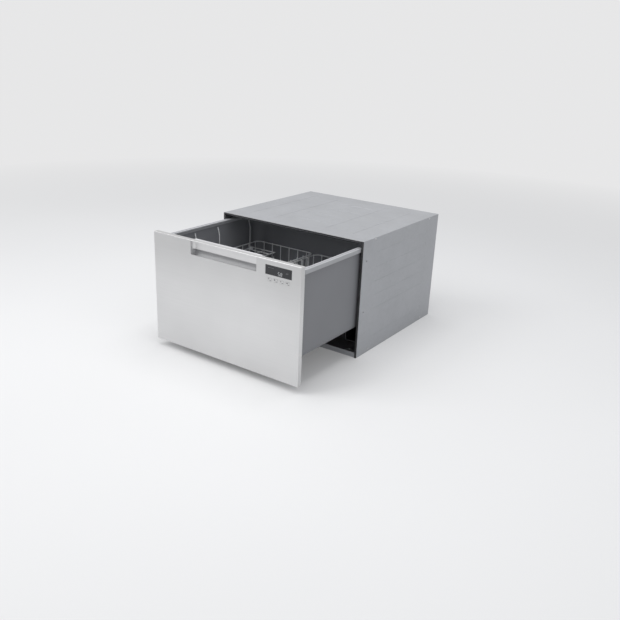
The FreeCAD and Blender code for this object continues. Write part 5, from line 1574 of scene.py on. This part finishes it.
# ---- rails
@dataclass
class Rails(Section):
    """The rolled telescopic rails."""

    face: float = 0.246
    low: float = 0.070
    high: float = 0.105
    start: float = -0.270
    end: float = 0.230
    gauge: float = 0.0012

    def channel(self, name: str, web: float, reach: float, inset: float, shift: float,
                marks: Outline) -> Piece:
        """One rolled C-shaped member on the right.

        Args:
            name: its name.
            web: how far in from the bracket's face its web stands.
            reach: how far in its lips reach.
            inset: how much lower it is than the outer member, above and below.
            shift: how far out it stands at rest.
            marks: the middle and length of each hole or slot along it.

        Returns:
            The member.
        """
        side = 1.0 if reach > web else -1.0
        x0, x1 = sorted((self.face - web, self.face - reach))
        y0, y1 = self.start - shift, self.end - shift
        z0, z1 = self.low + inset, self.high - inset
        bar = block(name, (x0, y0, z0), (x1, y1, z1))
        web_x = self.face - web
        round_off(bar, 0.0022, 5, at("x", web_x, lying_deep))
        inner = web_x - side * self.gauge
        room = block("room", (min(inner, inner - side * 0.03), y0 - PAST, z0 + self.gauge),
                     (max(inner, inner - side * 0.03), y1 + PAST, z1 - self.gauge))
        round_off(room, 0.0010, 4, at("x", inner, lying_deep))
        middle_z = (self.low + self.high) / 2
        bits = []
        for place, length in marks:
            half = min(length, 0.008) / 2
            bit = block("bit", (web_x - 0.004, place - length / 2 - shift, middle_z - half),
                        (web_x + 0.004, place + length / 2 - shift, middle_z + half))
            bits.append(round_off(bit, half * 0.99, 6, lying_across))
        cut(bar, [room])
        cut(bar, bits)
        return smooth(soften(bar, 0.00018, 1, 60.0), 40.0)

    def bracket(self) -> Piece:
        """The folded bracket that holds the outer member out from the chassis wall."""
        thick, foot = 0.002, 0.054
        sheet = block("bracket", (self.face, self.start, foot), (WALL_INSIDE, self.end, self.high))
        round_off(sheet, 0.003, 5, at("z", foot, lying_deep))
        room = block("room", (self.face + thick, self.start - PAST, foot + thick),
                     (WALL_INSIDE - thick, self.end + PAST, self.high + PAST))
        round_off(room, 0.0012, 4, at("z", foot + thick, lying_deep))
        step = block("step", (WALL_INSIDE - PAST, self.start - PAST, self.high - 0.001),
                     (WALL_INSIDE + PAST, self.end + PAST, self.high + PAST))
        middle_z = (self.low + self.high) / 2
        bores = [round_bar("bore", (x - 0.003, y, middle_z), (x + 0.003, y, middle_z), 0.0022, 20)
                 for x in (self.face + 0.001, WALL_INSIDE - 0.001)
                 for y in (-0.240, -0.040, 0.160, 0.210)]
        cut(sheet, [room, step, *bores])
        return smooth(soften(sheet, 0.0002, 1, 60.0), 40.0)

    def build(self) -> None:
        """Make the three members on both sides."""
        inset = self.gauge + 0.0042
        bores = ((-0.240, 0.0044), (-0.040, 0.0044), (0.160, 0.0044), (0.210, 0.0044))
        holes = ((-0.240, 0.0044), (-0.060, 0.0044), (0.120, 0.0044), (0.210, 0.0044))
        slots = ((-0.235, 0.030), (-0.175, 0.030), (-0.115, 0.030), (0.115, 0.030), (0.175, 0.030))
        members = (("outer", 0.0, 0.0105, 0.0, 0.0, bores, "chassis"),
                   ("middle", 0.003, 0.0112, inset, OUT * 0.5, slots, "middle_rails"),
                   ("inner", 0.0129, 0.0055, 2 * inset, OUT, holes, "drawer"))
        for stem, web, reach, inset_here, shift, marks, body in members:
            right = self.channel(f"{stem}_member_right", web, reach, inset_here, shift, marks)
            if stem == "outer":
                join(right.name, [right, self.bracket()])
            dress_twins(right, f"{stem}_member_left", self.finishes.rail, body,
                        f"{stem}_rail_*")


# ---- the chassis
@dataclass
class Chassis(Section):
    """The folded sheets that stay in the cabinet, with their trim and screws."""

    half: float = 0.2985
    front: float = -0.2765
    rear: float = 0.2765
    high: float = 0.410
    sheet: float = 0.0012
    return_in: float = 0.291

    def build(self) -> None:
        """Make every sheet, the trim, the screws and the inlet's thread."""
        dress_twins(self.side(), "side_sheet_left", self.finishes.zinc, "chassis",
                    "side_panel_*")
        self.top()
        self.back()
        self.trim()
        heads = [Fasteners.pan_head((sign * self.half, y, z), sign)
                 for sign in (1.0, -1.0) for y in (-0.200, 0.200) for z in (0.010, 0.405)]
        dress(join("chassis_screw_set", heads), self.finishes.screw, "chassis",
              ["chassis_screws"])
        ridges = [(0.0128, -0.0060)]
        for step in range(5):
            foot = -0.0054 + 0.0021 * step
            ridges += [(0.0130, foot), (0.0136, foot + 0.0007), (0.0130, foot + 0.0014)]
        ridges += [(0.0128, 0.0058), (0.0124, 0.0058), (0.0124, -0.0060), (0.0128, -0.0060)]
        thread = turned_piece("inlet_thread", ridges, (-0.246, 0.2705, 0.044), 48, "Y")
        dress(thread, self.finishes.pump, "chassis")

    def bead(self, low: Point, high: Point, way: Test) -> Piece:
        """A long round-ended bit that presses one stiffening bead."""
        return round_off(block("bead", low, high), 0.0065, 6, way)

    def side(self) -> Piece:
        """The right side sheet: pressed beads, front return, lid studs."""
        inner = self.half - self.sheet
        wall = block("side_sheet_right", (inner, self.front, 0.0), (self.half, self.rear, self.high))
        weld(wall, [block("lip", (self.return_in, self.front, 0.018),
                          (inner + 0.0004, self.front + self.sheet, self.high - self.sheet))])
        round_off(wall, 0.0011, 4, at("x", self.half, at("y", self.front, upright)))
        rows, reach = (0.052, 0.155, 0.205, 0.255, 0.305, 0.358), 0.190
        presses = [self.bead((self.half - 0.0005, -reach, z), (self.half + PAST, reach, z + 0.014),
                             lying_across) for z in rows]
        holes = [round_bar("hole", (inner - PAST, -0.250, z), (self.half + PAST, -0.250, z),
                           0.0025, 24) for z in (0.160, 0.340)]
        cut(wall, [*presses, *holes])
        backs = [soften(self.bead((inner - 0.0005, 0.0012 - reach, z + 0.0012),
                                  (inner + 0.0003, reach - 0.0012, z + 0.0128), lying_across),
                        0.0004) for z in rows[1:]]
        studs = [round_bar("stud", (inner + 0.0004, y, 0.397), (0.2903, y, 0.397), 0.003, 28)
                 for y in (-0.200, 0.180)]
        soften(wall, BURR, 1, 60.0)
        return join("side_sheet_right", [smooth(part, 35.0) for part in (wall, *backs, *studs)])

    def top(self) -> None:
        """The top sheet with its hem and crossing beads."""
        inner = self.half - self.sheet
        plate = block("top_sheet", (-inner, self.front, self.high - self.sheet),
                      (inner, self.rear, self.high))
        hem = block("hem", (-self.return_in, self.front, self.high - 0.005),
                    (self.return_in, self.front + self.sheet, self.high - 0.0008))
        flanges = [block("flange", (x0, self.front + self.sheet, self.high - 0.009),
                         (x0 + self.sheet, self.rear - self.sheet, self.high - 0.0008))
                   for x0 in (-inner, inner - self.sheet)]
        weld(plate, [hem, *flanges])
        round_off(plate, 0.0010, 4, at("z", self.high, at("y", self.front, lying_across)))
        presses = [self.bead((x, -0.215, self.high - 0.0005), (x + 0.014, 0.215, self.high + PAST),
                             upright) for x in (-0.227, -0.117, 0.103, 0.213)]
        presses += [self.bead((-0.080, y, self.high - 0.0005), (0.080, y + 0.014, self.high + PAST),
                              upright) for y in (-0.157, -0.057, 0.043, 0.143)]
        cut(plate, presses)
        smooth(soften(plate, BURR, 1, 60.0), 35.0)
        dress(plate, self.finishes.zinc, "chassis", ["top_panel"])

    def back(self) -> None:
        """The rear sheet with its vents, connection holes and beads."""
        inner = self.half - self.sheet
        plate = block("rear_sheet", (-inner, self.rear - self.sheet, 0.0),
                      (inner, self.rear, self.high - self.sheet))
        bits = [round_bar("hole", (x, self.rear - PAST, 0.044), (x, self.rear + PAST, 0.044),
                          radius, 40) for x, radius in ((-0.246, 0.0182), (-0.190, 0.0145),
                                                        (0.215, 0.010))]
        for step in range(11):
            x = -0.060 + 0.012 * step
            vent = block("vent", (x, self.rear - PAST, 0.150), (x + 0.004, self.rear + PAST, 0.190))
            bits.append(round_off(vent, 0.0019, 5, lying_deep))
        bits += [self.bead((-0.25, self.rear - 0.0005, z), (0.25, self.rear + PAST, z + 0.014),
                           lying_deep) for z in (0.105, 0.240, 0.300, 0.360)]
        cut(plate, bits)
        smooth(soften(plate, BURR, 1, 60.0), 35.0)
        dress(plate, self.finishes.zinc, "chassis", ["back_panel"])

    def trim(self) -> None:
        """The soft strips that the closed front meets, crowned like a D."""
        near, middle = self.front - 0.0018, (self.return_in + self.half) / 2
        wide = (self.half - self.return_in) / 2
        crown = [(middle - wide, self.front), (middle - wide, near + 0.0008)]
        crown += [(middle - wide * math.cos(math.pi * step / 10),
                   near + 0.0008 * (1 - math.sin(math.pi * step / 10))) for step in range(1, 10)]
        crown += [(middle + wide, near + 0.0008), (middle + wide, self.front)]
        strip = smooth(extruded("strip", crown, "XY", 0.0, self.high), 50.0)
        strips = twins(strip, "strip")
        high, low = self.high, self.high - 0.005
        level = [(self.front, low), (near + 0.0006, low), (near, (low + high) / 2),
                 (near + 0.0006, high), (self.front, high)]
        strips.append(smooth(soften(extruded("strip", level, "YZ", 0.0002 - self.return_in,
                                             self.return_in - 0.0002), 0.0003), 50.0))
        dress(join("soft_strips", strips), self.finishes.trim, "chassis",
              ["edge_trim"])


# ---- the lid
@dataclass
class Lid(Section):
    """The drop-down lid over the tub, with the bulb seal under it."""

    half: float = 0.287
    front: float = -0.2645
    rear: float = 0.2305
    low: float = 0.399
    thick: float = 0.0075

    def slab(self, name: str, inset: float, low: float, high: float,
             corner: float) -> Piece:
        """A round-cornered slab inset from the lid's outline."""
        made = block(name, (-self.half + inset, self.front + inset, low),
                     (self.half - inset, self.rear - inset, high))
        return round_off(made, corner, 6, upright)

    def build(self) -> None:
        """Make the lid and its seal."""
        high = self.low + self.thick
        tray = self.slab("lid_tray", 0.002, self.low, high, 0.010)
        cut(tray, [self.slab("pocket", 0.008, self.low + 0.0025, high + PAST, 0.006)])
        ribs = [block("rib", (x - 0.0015, self.front + 0.0075, self.low + 0.0020),
                      (x + 0.0015, self.rear - 0.0075, high - 0.001))
                for x in (-0.180, -0.060, 0.060, 0.180)]
        weld(tray, ribs)
        lean = math.sqrt(0.024 ** 2 - 0.0035 ** 2)
        tabs, slots = [], []
        for y in (-0.200 + lean, 0.180 + lean):
            tab = soften(block("tab", (0.284, y - 0.012, self.low - 0.004),
                               (0.2875, y + 0.012, high)), 0.0006)
            slot = round_off(block("slot", (0.280, y - 0.004, 0.4005 - 0.00235),
                                   (0.290, y + 0.004, 0.4005 + 0.00235)), 0.0023, 5, lying_across)
            tabs += twins(tab, "tab")
            slots += twins(slot, "slot")
        weld(tray, tabs)
        cut(tray, slots)
        smooth(soften(tray, 0.0004, 2, 60.0), 35.0)
        dress(tray, self.finishes.lid, "lid", ["lid_panel"])
        self.seal()

    def seal(self) -> None:
        """The bulb of the seal and the foot that holds it in the lid."""
        inset, low = 0.0075, self.low
        x, y0, y1 = self.half - inset, self.front + inset - 0.002, self.rear - inset + 0.002
        corners = [(0.0, y0, low - 0.0021), (x, y0, low - 0.0021), (x, y1, low - 0.0021),
                   (-x, y1, low - 0.0021), (-x, y0, low - 0.0021), (0.0, y0, low - 0.0021)]
        bulb = tubes("seal_bulb", [(bent_path(corners, [0.025] * 4, 10)[:-1], True)], 0.0023, 3)
        foot = self.slab("foot", 0.0050, low - 0.0016, low, 0.027)
        cut(foot, [self.slab("inside", 0.0100, low - PAST, low + PAST, 0.0225)])
        dress(join("seal_bulb", [bulb, smooth(foot, 40.0)]), self.finishes.seal, "lid",
              ["lid_seal"])


# ---- CAD pieces that stay
def carried(finishes: Palette) -> None:
    """Give every CAD node that is still shown its own finish."""
    kept = {
        finishes.board: ("control_board",),
        finishes.carrier: ("front_carrier",),
        finishes.zinc: ("base_pan",),
        # painted shade: the tub cradle, galvanised sheet, takes this dark plate to look like the
        # shade under the tub
        finishes.rail: ("tub_cradle", "outer_ball_cages", "inner_ball_cages", "lid_bar_right",
                        "lid_bar_left"),
        finishes.drive: ("lid_actuators", "wash_motor", "mains_gland", "lid_crank_front_right",
                         "lid_crank_front_left", "lid_crank_rear_right", "lid_crank_rear_left"),
        finishes.pump: ("inlet_valve", "drain_outlet", "sump", "drain_pump"),
        finishes.heater: ("heater_plate",),
        finishes.arm: ("wash_impeller",),
        finishes.pierced: ("filter_plate",),
        finishes.filter: ("drain_filter",),
    }
    for material, nodes in kept.items():
        for name in nodes:
            for place in frame["nodes"][name].material_slots:
                place.material = material


# ---- studio
@dataclass
class Studio:
    """The camera, the pale surroundings and the lamps."""

    eye: Point = (1.394, -2.1815, 1.001)
    turn: float = math.radians(34.19)
    rise: float = math.radians(20.79)
    roll: float = math.radians(2.44)
    lens: float = 40.8
    sensor: float = 36.0
    pale: Colour = (0.80, 0.80, 0.805)

    def build(self) -> None:
        """Set everything up."""
        self.camera()
        self.floor()
        self.world()
        self.lamp("key", (-1.9, -2.6, 3.3), (0.0, -0.3, 0.2), (2.2, 2.2), 62.0)
        self.lamp("fill", (2.6, -1.0, 2.0), (0.2, -0.4, 0.2), (1.6, 1.6), 5.0)
        self.lamp("over", (0.1, -0.4, 3.2), (0.0, -0.4, 0.2), (2.6, 2.0), 50.0)

    def camera(self) -> None:
        """The camera, placed from the corners of the front in the photograph."""
        back = Vector((math.sin(self.turn) * math.cos(self.rise),
                       -math.cos(self.turn) * math.cos(self.rise), math.sin(self.rise)))
        side = Vector((math.cos(self.turn), math.sin(self.turn), 0.0))
        top = back.cross(side)
        along = side * math.cos(self.roll) + top * math.sin(self.roll)
        upward = top * math.cos(self.roll) - side * math.sin(self.roll)
        data = bpy.data.cameras.new("camera")
        data.lens = self.lens
        data.sensor_width = self.sensor
        data.clip_end = 50.0
        made = bpy.data.objects.new("camera", data)
        bpy.context.collection.objects.link(made)
        turned = Matrix((along, upward, back)).transposed().to_4x4()
        made.matrix_world = Matrix.Translation(self.eye) @ turned
        bpy.context.scene.camera = made

    def seen(self, board: Board) -> Wire:
        """1 for camera, glossy and transmission rays, 0 for light bounced softly."""
        path = "ShaderNodeLightPath"
        both = board.maths("MAXIMUM", board.node(path, out="Is Camera Ray"),
                           board.node(path, out="Is Glossy Ray"))
        return board.maths("MAXIMUM", both, board.node(path, out="Is Transmission Ray"))

    def floor(self) -> None:
        """A pale floor that still takes a soft shadow."""
        bpy.ops.mesh.primitive_plane_add(size=14.0, location=(0.0, 0.0, -0.0005))
        made = settle(bpy.context.active_object, "floor")
        board = Board("floor")
        mottle = board.mix(board.noise(0.6, 2.0), (0.60, 0.60, 0.60), (0.66, 0.66, 0.66))
        matt = board.node("ShaderNodeBsdfDiffuse", None, {"Color": mottle})
        glow = board.node("ShaderNodeEmission", None, {"Color": (*self.pale, 1.0),
                                                       "Strength": 0.19})
        near = board.node("ShaderNodeAddShader", None, {0: matt, 1: glow})
        flat = board.node("ShaderNodeEmission", None, {"Color": (*self.pale, 1.0)})
        away = board.node("ShaderNodeVectorMath", {"operation": "LENGTH"}, {0: board.place()},
                          out="Value")
        fading = board.between(away, 1.2, 4.0)
        lit = board.node("ShaderNodeMixShader", None, {0: fading, 1: near, 2: flat})
        mixed = board.node("ShaderNodeMixShader", None, {0: self.seen(board), 1: matt, 2: lit})
        made.data.materials.append(board.close(mixed))

    def world(self) -> None:
        """A pale surround, plainly lit."""
        board = Board("surround", bpy.data.worlds)
        tone = board.mix(self.seen(board), (0.52, 0.53, 0.55), self.pale)
        ground = board.node("ShaderNodeBackground", None, {"Color": tone})
        bpy.context.scene.world = board.close(ground, "ShaderNodeOutputWorld")
        bpy.context.scene.view_settings.view_transform = "Standard"

    @staticmethod
    def lamp(name: str, place: Point, aim: Point, size: tuple[float, float],
             watts: float) -> None:
        """One soft area lamp.

        Args:
            name: its name.
            place: where it stands.
            aim: the point that it faces.
            size: its width and height.
            watts: its power.
        """
        data = bpy.data.lights.new(name, "AREA")
        data.shape = "RECTANGLE"
        data.size, data.size_y = size
        data.energy = watts
        made = bpy.data.objects.new(name, data)
        bpy.context.collection.objects.link(made)
        made.location = place
        made.rotation_euler = (Vector(aim) - Vector(place)).to_track_quat("-Z", "Y").to_euler()


# ---- everything
def main() -> None:
    """Build every piece, dress what stays, and light it."""
    finishes = Palette()
    makers = (Front, Tub, Racks, Dispenser, Washing, Rails, Chassis, Lid)
    for maker in makers:
        maker(finishes).build()
        LOG.info("%s done", maker.__name__)
    carried(finishes)
    Studio().build()


if __name__ == "__main__":
    main()
